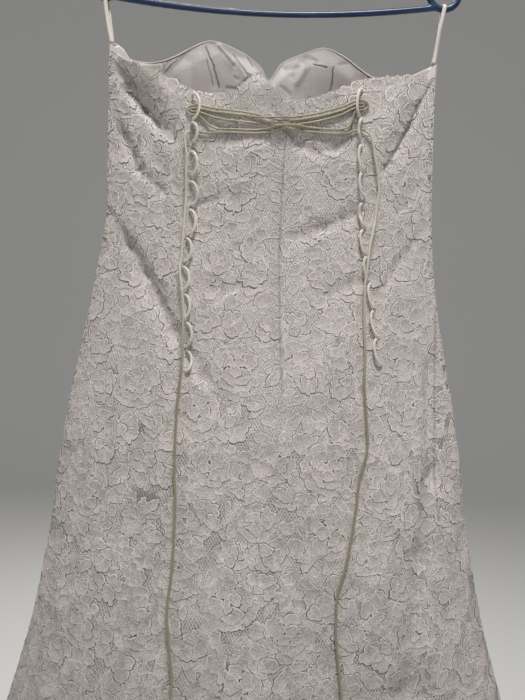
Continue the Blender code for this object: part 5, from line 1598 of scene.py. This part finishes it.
class DressColours(bpy.types.PropertyGroup):
    """Colours of the cloth, the cords and the hanger."""

    petal_light: colour_setting("Petal, light", "Lightest fill of the lace's petals", (0.74, 0.685, 0.66))
    petal_dark: colour_setting("Petal, dark", "Darkest fill of the lace's petals", (0.64, 0.588, 0.564))
    # painted highlight along the raised cord of each petal
    lace_cord: colour_setting("Lace cord", "Raised cord round each petal", (0.84, 0.795, 0.765))
    # colour of the painted shade where a petal meets the net and in the back's creases; the petals' stitch
    # grain is darkened towards it too
    lace_shadow: colour_setting("Lace shadow", "Where a petal meets the net", (0.13, 0.115, 0.095))
    net: colour_setting("Net", "Strands of the net", (0.86, 0.815, 0.785))
    net_shadow: colour_setting("Net shadow", "Filled places of the net", (0.61, 0.562, 0.53))
    # painted shade: the dark inside of the skirt, seen through the open net
    net_gap_shade: colour_setting(
        "Net gap", "Open places of the net, where the dark under the skirt shows", (0.21, 0.175, 0.115))
    net_glint: colour_setting("Net glint", "Knots of the net that catch the light", (0.97, 0.95, 0.91))
    satin: colour_setting("Satin", "Satin of the cups", (0.82, 0.78, 0.765))
    satin_dark: colour_setting("Satin, dark", "Satin of the cups where it is duller", (0.76, 0.72, 0.705))
    # painted shade of the cups' seams and sharp creases
    satin_crease_shade: colour_setting(
        "Satin, creased", "Seams and sharp creases of the cups' satin", (0.16, 0.14, 0.12))
    lining: colour_setting("Lining", "Satin under the lace", (0.68, 0.645, 0.6))
    lining_dark: colour_setting(
        "Lining, dark", "Satin under the lace where it is duller", (0.6, 0.565, 0.52))
    # painted shade of the lining low in the skirt
    lining_shaded: colour_setting(
        "Lining, low", "Satin under the skirt's lace, where little light reaches it", (0.6, 0.5, 0.36))
    # painted shade: darker than the tails of the same cord
    cord: colour_setting("Cord", "Lacing cord across the back", (0.47, 0.43, 0.32))
    # random dark tone of the cord, and the painted shade towards the bottom of the tails
    cord_dark_and_shaded: colour_setting("Cord, dark", "Lacing cord where it is duller", (0.33, 0.295, 0.205))
    tail: colour_setting("Cord tails", "Lacing cord at the top of its hanging tails", (0.66, 0.62, 0.51))
    ribbon: colour_setting("Ribbon", "Lacing loops and hanger ribbons", (0.84, 0.8, 0.74))
    ribbon_dark: colour_setting(
        "Ribbon, dark", "Loops and ribbons where they are duller", (0.72, 0.685, 0.62))
    plastic: colour_setting("Plastic", "Hanger", (0.006, 0.026, 0.085))
    plastic_worn: colour_setting("Plastic, worn", "Hanger where it is rubbed", (0.014, 0.044, 0.12))
    floor: colour_setting("Floor", "Floor and backdrop", (0.78, 0.78, 0.76))


# ================================================================ stage
CAMERA_DISTANCE = 0.9
CAMERA_Z = -0.5875
CAMERA_LENS = 40.25
CAMERA_ROLL = 0.035
CAMERA_SENSOR = 36.0
FLOOR_Z = -1.52
STAGE_REACH = 6.0
BACKDROP_Y = 4.2
BACKDROP_BEND = 1.5
BACKDROP_STEPS = 16
Lamp = namedtuple("Lamp", "name place aim size spread energy tint")
LAMPS = [
    Lamp("key", (0.12, -0.88, 1.3), (0.0, 0.0, -0.5), 0.5, 180.0, 34.5, (1.0, 0.96, 0.945)),
    Lamp("front", (-0.4, 1.9, 1.1), (0.0, 0.0, -0.7), 0.9, 180.0, 30.0, (1.0, 0.975, 0.96)),
    Lamp("inside", (0.0, -1.3, -0.16), (-0.045, 0.06, -0.272), 0.14, 12.0, 0.01, (1.0, 0.975, 0.97)),
]
WORLD_LIGHT = 0.26


class DRESS_OT_stage(bpy.types.Operator):
    """Make the floor and backdrop, the lamps and the camera"""

    bl_idname = "dress.stage"
    bl_label = "Stage"

    def execute(self, context):
        _, colours = dress_settings()
        self.make_floor(colours)
        for lamp in LAMPS:
            self.make_lamp(lamp)
        world = bpy.data.worlds.new("studio")
        world.use_nodes = True
        world.node_tree.nodes["Background"].inputs["Color"].default_value = (1.0, 1.0, 1.0, 1.0)
        world.node_tree.nodes["Background"].inputs["Strength"].default_value = WORLD_LIGHT
        context.scene.world = world
        camera = bpy.data.objects.new("camera", bpy.data.cameras.new("camera"))
        camera.data.lens = CAMERA_LENS
        camera.data.sensor_width = CAMERA_SENSOR
        camera.location = (0.0, -CAMERA_DISTANCE, CAMERA_Z)
        turn = Matrix.Rotation(math.pi / 2, 4, "X") @ Matrix.Rotation(CAMERA_ROLL, 4, "Z")
        camera.rotation_euler = turn.to_euler()
        context.scene.collection.objects.link(camera)
        context.scene.camera = camera
        context.scene.view_settings.view_transform = "Standard"
        return {"FINISHED"}

    def make_floor(self, colours):
        """A floor that bends up into a backdrop."""
        sheet = bmesh.new()
        bmesh.ops.create_grid(sheet, x_segments=2, y_segments=2, size=STAGE_REACH)
        bmesh.ops.translate(sheet, vec=(0, BACKDROP_Y - STAGE_REACH, FLOOR_Z), verts=sheet.verts)
        edge = [item for item in sheet.edges if all(vert.co.y > BACKDROP_Y - 0.01 for vert in item.verts)]
        bmesh.ops.spin(
            sheet, geom=edge, cent=(0, BACKDROP_Y, FLOOR_Z + BACKDROP_BEND), axis=(1, 0, 0),
            angle=math.pi / 2, steps=BACKDROP_STEPS,
        )
        reach = BACKDROP_Y + BACKDROP_BEND
        edge = [item for item in sheet.edges if all(abs(vert.co.y - reach) < 0.001 for vert in item.verts)]
        risen = bmesh.ops.extrude_edge_only(sheet, edges=edge)["geom"]
        up = [item for item in risen if isinstance(item, bmesh.types.BMVert)]
        bmesh.ops.translate(sheet, vec=(0, 0, STAGE_REACH), verts=up)
        bmesh.ops.recalc_face_normals(sheet, faces=sheet.faces)
        mesh = finished_mesh("floor", sheet)
        floor = bpy.data.objects.new("floor", mesh)
        bpy.context.scene.collection.objects.link(floor)
        material, _, shader = new_material("floor_paint")
        shader.inputs["Base Color"].default_value = colour(colours.floor)
        shader.inputs["Roughness"].default_value = 0.9
        mesh.materials.append(material)

    def make_lamp(self, lamp):
        light = bpy.data.lights.new(lamp.name, "AREA")
        light.shape = "DISK"
        light.size = lamp.size
        light.spread = math.radians(lamp.spread)
        light.energy = lamp.energy
        light.color = lamp.tint
        made = bpy.data.objects.new(lamp.name, light)
        made.location = lamp.place
        aim = Vector(lamp.aim) - Vector(lamp.place)
        made.rotation_euler = aim.to_track_quat("-Z", "Y").to_euler()
        bpy.context.scene.collection.objects.link(made)


# ================================================================ cords and loops
TAIL_RINGS = 480
ACROSS_RINGS = 640
CORD_SIDES = 10
PULLED_THIN = 0.84
CORD_FLATNESS = 0.07
CORD_GROOVE = 0.1
KNOT_SIZE = 0.0021
KNOT_TUBE = 0.0013
KNOT_HEIGHT = 0.009
KNOT_RINGS = 90
KNOT_SQUEEZE = 0.62
KNOT_TWIST = 0.02
CUT_END_STEP = 0.0011


def cord_section(radius, twist):
    """A round cord whose seam winds slowly round it."""
    def section(length, angle):
        wound = angle - math.tau * length / twist
        groove = CORD_GROOVE * max(0.0, math.cos(wound)) ** 12
        here = radius * (1 + CORD_FLATNESS * math.cos(2 * wound) - groove)
        return here * math.cos(angle), here * math.sin(angle)
    return section


class DRESS_OT_lacing(bpy.types.Operator):
    """Lay the lacing cord across the back and hang its two tails, each with a knot"""

    bl_idname = "dress.lacing"
    bl_label = "Lacing cord"

    def execute(self, context):
        sizes, _ = dress_settings()
        section = cord_section(CORD_DIAMETER / 2, sizes.cord_twist)
        pulled = cord_section(CORD_DIAMETER / 2 * PULLED_THIN, sizes.cord_twist)
        seat = CORD_DIAMETER / 2 + PIECE_GAP + CORD_EASE
        across_back = [
            (x, cloth_face(x, z) - seat - lift, z) for x, z, lift in smooth_route(LACING_ROUTE, ACROSS_RINGS)
        ]
        mesh = sweep("cord_across", across_back, pulled, CORD_SIDES)
        add_piece(mesh, "cord_satin", ["lacing_cord"])
        for side, route in (("left", TAIL_LEFT_ROUTE), ("right", TAIL_RIGHT_ROUTE)):
            path = smooth_route(route, TAIL_RINGS)
            mesh = sweep(f"cord_tail_{side}", path, section, CORD_SIDES)
            tail = add_piece(mesh, "tail_satin", [f"lacing_tail_{side}"])
            knot = self.make_knot(side, path[-1])
            float(lengths_along(path)[-1])
        return {"FINISHED"}

    def make_knot(self, side, top):
        """An overhand knot under the end of a tail, with a short cut end below it."""
        turns = np.linspace(0, math.tau, KNOT_RINGS, endpoint=False)
        middle = top - np.array([0, 0, PIECE_GAP + KNOT_HEIGHT / 2])
        wound = np.stack([
            np.sin(turns) + 2 * np.sin(2 * turns), -np.sin(3 * turns) * 1.1,
            np.cos(turns) - 2 * np.cos(2 * turns),
        ], axis=1) * KNOT_SIZE * KNOT_SQUEEZE
        path = np.vstack([wound, wound[:1]]) + middle
        plain = cord_section(KNOT_TUBE, KNOT_TWIST)
        wound_cord = sweep("wound", path, plain, CORD_SIDES)
        end = [middle + np.array([0.0004, 0.0, -0.001 - CUT_END_STEP * step]) for step in range(5)]
        cut_end = sweep("cut_end", end, plain, CORD_SIDES)
        mesh = joined_mesh(f"cord_knot_{side}", (wound_cord, cut_end))
        return add_piece(mesh, "tail_satin", [f"lacing_knot_{side}"])


class DRESS_OT_loops(bpy.types.Operator):
    """Make the two columns of rolled satin loops in the back seams"""

    bl_idname = "dress.loops"
    bl_label = "Lacing loops"

    def execute(self, context):
        for column, loops in (("left", LEFT_LOOPS), ("right", RIGHT_LOOPS)):
            made = [sweep("loop", self.loop_path(column, loop), self.section, CORD_SIDES) for loop in loops]
            mesh = joined_mesh(f"loops_{column}", made)
            nodes = [f"lacing_loop_{column}_{number:02d}" for number in range(1, len(loops) + 1)]
            add_piece(mesh, "ribbon_satin", nodes)
        return {"FINISHED"}

    def section(self, length, angle):
        """Rolled satin, a little flat, with the groove of its turned seam along one side."""
        groove = LOOP_GROOVE * max(0.0, math.cos(angle - LOOP_GROOVE_TURN)) ** 10
        radius = LOOP_DIAMETER / 2 * (1 - groove)
        return radius * LOOP_WIDE * math.cos(angle), radius * LOOP_THIN * math.sin(angle)

    def loop_path(self, column, loop):
        seam = float(getattr(smooth_rows(BACK_SEAMS, loop.top), column))
        start_x = float(skin(-1, seam, loop.top)[0])
        radius = LOOP_DIAMETER / 2
        points = []
        for step in range(LOOP_STEPS + 1):
            turn = math.pi * step / LOOP_STEPS
            t, arch = (1 - math.cos(turn)) / 2, math.sin(turn)
            x = start_x + loop.slant * t + loop.reach * arch
            z = loop.top - loop.drop * t
            out = loop.stand * arch**LOOP_ROUNDNESS
            seat = radius * (1 - arch) ** 4
            points.append((x, cloth_face(x, z) - radius - PIECE_GAP - out + seat, z))
        return points


# ================================================================ hanger and ribbons
NECK_Z = -0.118
NOTCH_X = 0.1945
NOTCH_Z = -0.1721
NOTCH_RADIUS = 0.0168
BAR_END_X = 0.187
BAR_END_Z = -0.187
BAR_BOW = 0.014
HOOK_INNER_RADIUS = 0.022
HOOK_TUBE_EASE = 0.0004
BAR_TUBE_EASE = 0.0006
SHOULDER = [(0.0, 0.0), (0.03, 0.003), (0.09, 0.017), (0.15, 0.033), (0.175, 0.043)]
SHANK = [(0.0, -0.12), (0.0, -0.09), (0.0, -0.07), (0.006, -0.0555)]
HANGER_SIDES = 24
HOOK_RINGS, SHANK_RINGS, BAR_RINGS, SHOULDER_RINGS, NOTCH_RINGS = 60, 30, 60, 50, 24
RIBBON_ROWS, RIBBON_TOP_ROWS = 26, 16
RIBBON_CORNERS = {"left": (-0.1855, -0.2408), "right": (0.185, -0.2526)}
RIBBON_EASE = 0.0009
RIBBON_FOOT = 0.0012
RIBBON_WALL = 0.0005
RIBBON_TWIST = 0.45
RIBBON_CURL = 0.0006
RIBBON_SWAY = 0.0007
HANGER_VOXEL = 0.0015
BALL_EASE = 0.0003
HOOK_ANGLES = (-45, 205)
TAB_COLUMNS = 16
TAB_ROWS = 8
TAB_REACH = 0.03
TAB_RISE = 0.0012
TAB_DROP = 0.016
TAB_STAND = 0.0008
TAB_TAPER = 0.4


def arc_points(middle_x, middle_z, radius, start, end, count):
    angles = np.radians(np.linspace(start, end, count + 1))
    return [(middle_x + radius * math.cos(a), 0.0, middle_z + radius * math.sin(a)) for a in angles]


def round_section(radius):
    return lambda length, angle: (radius * math.cos(angle), radius * math.sin(angle))


class DRESS_OT_hanger(bpy.types.Operator):
    """Mould the hanger in one piece: arms with notch hooks, bar, shank and hook"""

    bl_idname = "dress.hanger"
    bl_label = "Hanger"

    def execute(self, context):
        sizes, _ = dress_settings()
        radius = sizes.hanger_tube / 2
        hook_radius = radius - HOOK_TUBE_EASE / 2
        ring = arc_points(0, -HOOK_INNER_RADIUS, HOOK_INNER_RADIUS + hook_radius, *HOOK_ANGLES, HOOK_RINGS)
        shank = smooth_route([(x, 0, z) for x, z in SHANK] + [ring[0]], SHANK_RINGS)
        bar_x = np.linspace(-BAR_END_X, BAR_END_X, BAR_RINGS)
        bar = [(x, 0, BAR_END_Z - BAR_BOW * (1 - (x / BAR_END_X) ** 2)) for x in bar_x]
        tubes = [
            sweep(name, path, round_section(size), HANGER_SIDES) for name, path, size in (
                ("arms", self.arm_path(-1)[::-1] + self.arm_path(1)[1:], radius),
                ("hook", list(map(tuple, shank[:-1])) + ring, hook_radius),
                ("bar", bar, radius - BAR_TUBE_EASE / 2),
            )
        ]
        joined = bmesh.new()
        for tube in tubes:
            joined.from_mesh(tube)
            bpy.data.meshes.remove(tube)
        for tip in (self.arm_path(-1)[-1], self.arm_path(1)[-1], ring[-1]):
            ball = Matrix.Translation(tip)
            bmesh.ops.create_icosphere(joined, subdivisions=3, radius=radius + BALL_EASE, matrix=ball)
        mesh = finished_mesh("tube_hanger", joined)
        hanger = add_piece(mesh, "hanger_plastic", ["hanger"])
        melt = hanger.modifiers.new("one_piece", "REMESH")
        melt.mode = "VOXEL"
        melt.voxel_size = HANGER_VOXEL
        melt.use_smooth_shade = True
        soften = hanger.modifiers.new("soften", "SMOOTH")
        soften.factor = 0.5
        soften.iterations = 4
        return {"FINISHED"}

    def arm_path(self, side):
        """One arm, from the neck to the free tip of its notch hook."""
        slope = [(x, 0, NECK_Z - drop) for x, drop in SHOULDER] + [(NOTCH_X - NOTCH_RADIUS, 0, NOTCH_Z)]
        shoulder = [tuple(point) for point in smooth_route(slope, SHOULDER_RINGS)]
        notch = arc_points(NOTCH_X, NOTCH_Z, NOTCH_RADIUS, 180, 360, NOTCH_RINGS)
        return [(side * x, y, z) for x, y, z in shoulder[:-1] + notch]


class DRESS_OT_ribbons(bpy.types.Operator):
    """Hang the two satin ribbon loops over the hanger's notches"""

    bl_idname = "dress.ribbons"
    bl_label = "Hanger ribbons"

    def execute(self, context):
        sizes, _ = dress_settings()
        for side, notch_x in (("left", -NOTCH_X), ("right", NOTCH_X)):
            self.make_ribbon(side, notch_x, sizes)
        return {"FINISHED"}

    def make_ribbon(self, side, notch_x, sizes):
        corner_x, corner_z = RIBBON_CORNERS[side]
        rest = sizes.hanger_tube / 2 + RIBBON_EASE
        top_z = NOTCH_Z - NOTCH_RADIUS
        up = [(-RIBBON_FOOT - (rest - RIBBON_FOOT) * soft_step(t), corner_z + (top_z - corner_z) * t)
              for t in np.linspace(0, 1, RIBBON_ROWS)]
        over = [(-rest * math.cos(a), top_z + rest * math.sin(a))
                for a in np.linspace(0, math.pi, RIBBON_TOP_ROWS)]
        down = [(-y, z) for y, z in up[::-1]]
        path = up + over[1:-1] + down
        strip = bmesh.new()
        last = len(path) - 1
        bmesh.ops.create_grid(strip, x_segments=4, y_segments=last, size=0.5)
        for vert in strip.verts:
            step = round((vert.co.y + 0.5) * last)
            across = vert.co.x * sizes.ribbon_width
            y, z = path[step]
            rise = min(1.0, (z - corner_z) / (top_z - corner_z))
            twist = RIBBON_TWIST * math.sin(math.pi * rise) ** 2 * (1 if step < last / 2 else -0.7)
            curl = RIBBON_CURL * (1 - (2 * vert.co.x) ** 2)
            lean = -1 if step < last / 2 else 1
            middle = corner_x + rise * (notch_x - corner_x) + RIBBON_SWAY * lean * math.sin(math.pi * rise)
            vert.co = Vector((
                middle + across * math.cos(twist), y + lean * curl + across * math.sin(twist), z))
        mesh = finished_mesh(f"ribbon_{side}", strip)
        ribbon = add_piece(mesh, "ribbon_satin", [f"hanger_loop_{side}"])
        add_wall(ribbon, RIBBON_WALL)


# ================================================================ satin and lace
class DRESS_OT_linings(bpy.types.Operator):
    """Make the satin under the lace, and the gathered satin of the cups"""

    bl_idname = "dress.linings"
    bl_label = "Satin linings"

    def execute(self, context):
        bottom = level(HEM_Z + SATIN_HEM_RISE)
        tops = [(panel, satin_top(panel.side)) for panel in SATIN_PANELS] + [(UNDER_CUP_PANEL, under_cup_top)]
        for panel, top in tops:
            add_cloth(panel, top, bottom, SATIN_ROWS, 0, SATIN_SKIN_WALL, "lining_satin",
                      lining=True)
        for panel in CUP_PANELS:
            add_cloth(panel, satin_top(1), cup_bottom, CUP_ROWS, 0, 0, "cup_satin",
                      lining=True)
        return {"FINISHED"}


class DRESS_OT_lace(bpy.types.Operator):
    """Make the lace: a net ground for each panel, with its flowers, leaves and cords laid on it"""

    bl_idname = "dress.lace"
    bl_label = "Lace"

    def execute(self, context):
        sizes, _ = dress_settings()
        patterns = {kind: PetalPattern(kind) for kind in PETAL_SHAPES}
        patterns["strand"] = StrandPattern()
        for side, centre in ((-1, BACK_CENTRE), (1, CUP_MIDDLE)):
            rng = random.Random(sizes.pattern_seed + side)
            flat = FlatCloth(side, centre)
            motifs = scatter_motifs(flat, rng)
            panels = [panel for panel in LACE_PANELS if panel.side == side]
            runs, heights = np.array([item[1] for item in motifs]), np.array([item[2] for item in motifs])
            owners = panel_of(panels, flat.stations(runs, heights), heights)
            for number, panel in enumerate(panels):
                own = [item for item, owner in zip(motifs, owners) if owner == number]
                petals = []
                for item in own:
                    petals += motif_petals(*item, rng)
                petals += strand_petals(own, rng)
                if panel.node == "lace_back_centre_left":
                    petals += seam_strands(rng)
                name = panel.name.replace("net_", "flowers_")
                mesh = lay_petals(name, flat, petals, patterns, sizes.pattern_seed + number)
                flowers = add_piece(mesh, "lace_motif")
                add_cloth(panel, lace_top(side), level(HEM_Z), NET_ROWS, NET_FACE, 0, "lace_net")
        for pattern in patterns.values():
            bpy.data.meshes.remove(pattern.mesh)
        return {"FINISHED"}


EDGING_STATIONS = (0.004, 0.996, 260)
EDGING_TWIST = 0.05
EDGING_SIDES = 8


class DRESS_OT_edges(bpy.types.Operator):
    """Roll the narrow satin edging along the neckline"""

    bl_idname = "dress.edges"
    bl_label = "Neckline edging"

    def execute(self, context):
        for name, side, radius in (("edging_front", 1, 0.0008), ("edging_back", -1, 0.0006)):
            stations = np.linspace(*EDGING_STATIONS)
            heights = top_height(side, stations) - radius * 1.1
            path = skin(side, stations, heights) - np.array([0, radius * 0.9 * side, 0])
            mesh = sweep(name, path, cord_section(radius, EDGING_TWIST), EDGING_SIDES)
            add_piece(mesh, "edging_satin")
        return {"FINISHED"}


class DRESS_OT_tabs(bpy.types.Operator):
    """Wrap a satin tab over the top of each side seam, where the ribbons are sewn in"""

    bl_idname = "dress.tabs"
    bl_label = "Corner tabs"

    def execute(self, context):
        for name, seam, inward in (("left", 0.0, 1), ("right", 1.0, -1)):
            strip = bmesh.new()
            bmesh.ops.create_grid(strip, x_segments=TAB_COLUMNS, y_segments=TAB_ROWS, size=0.5)
            for vert in strip.verts:
                turn = 2 * vert.co.x
                side = -1 if turn < 0 else 1
                station = seam + inward * TAB_REACH * abs(turn)
                corner = RIBBON_CORNERS[name][1] + TAB_RISE
                top = (1 - abs(turn)) * corner + abs(turn) * float(top_height(side, station))
                z = top - (0.5 - vert.co.y) * TAB_DROP * (1 - TAB_TAPER * abs(turn))
                spot = skin(side, station, z) + TAB_STAND * outward(side, station, z)
                vert.co = Vector([float(value) for value in spot])
            mesh = finished_mesh(f"corner_tab_{name}", strip)
            add_piece(mesh, "edging_satin")
        return {"FINISHED"}


class DRESS_PT_panel(bpy.types.Panel):
    """The dress's sizes, colours and pieces"""

    bl_idname = "DRESS_PT_panel"
    bl_label = "Lace wedding dress"
    bl_space_type = "VIEW_3D"
    bl_region_type = "UI"
    bl_category = "Dress"

    def draw(self, context):
        for group in (context.scene.dress_sizes, context.scene.dress_colours):
            box = self.layout.box()
            for name in group.bl_rna.properties.keys():
                if name not in ("rna_type", "name"):
                    box.prop(group, name)
        for operator in OPERATORS:
            self.layout.operator(operator.bl_idname)


OPERATORS = [
    DRESS_OT_stage, DRESS_OT_lacing, DRESS_OT_loops, DRESS_OT_hanger, DRESS_OT_ribbons,
    DRESS_OT_linings, DRESS_OT_lace, DRESS_OT_edges, DRESS_OT_tabs,
]
CLASSES = [DressSizes, DressColours, *OPERATORS, DRESS_PT_panel]


def register():
    for item in CLASSES:
        bpy.utils.register_class(item)
    bpy.types.Scene.dress_sizes = PointerProperty(type=DressSizes)
    bpy.types.Scene.dress_colours = PointerProperty(type=DressColours)


def unregister():
    del bpy.types.Scene.dress_colours
    del bpy.types.Scene.dress_sizes
    for item in reversed(CLASSES):
        bpy.utils.unregister_class(item)


def main():
    """Make every piece in order."""
    register()
    bpy.ops.dress.stage()
    bpy.ops.dress.lacing()
    bpy.ops.dress.loops()
    bpy.ops.dress.hanger()
    bpy.ops.dress.ribbons()
    bpy.ops.dress.linings()
    bpy.ops.dress.lace()
    bpy.ops.dress.edges()
    bpy.ops.dress.tabs()


if __name__ == "__main__":
    main()
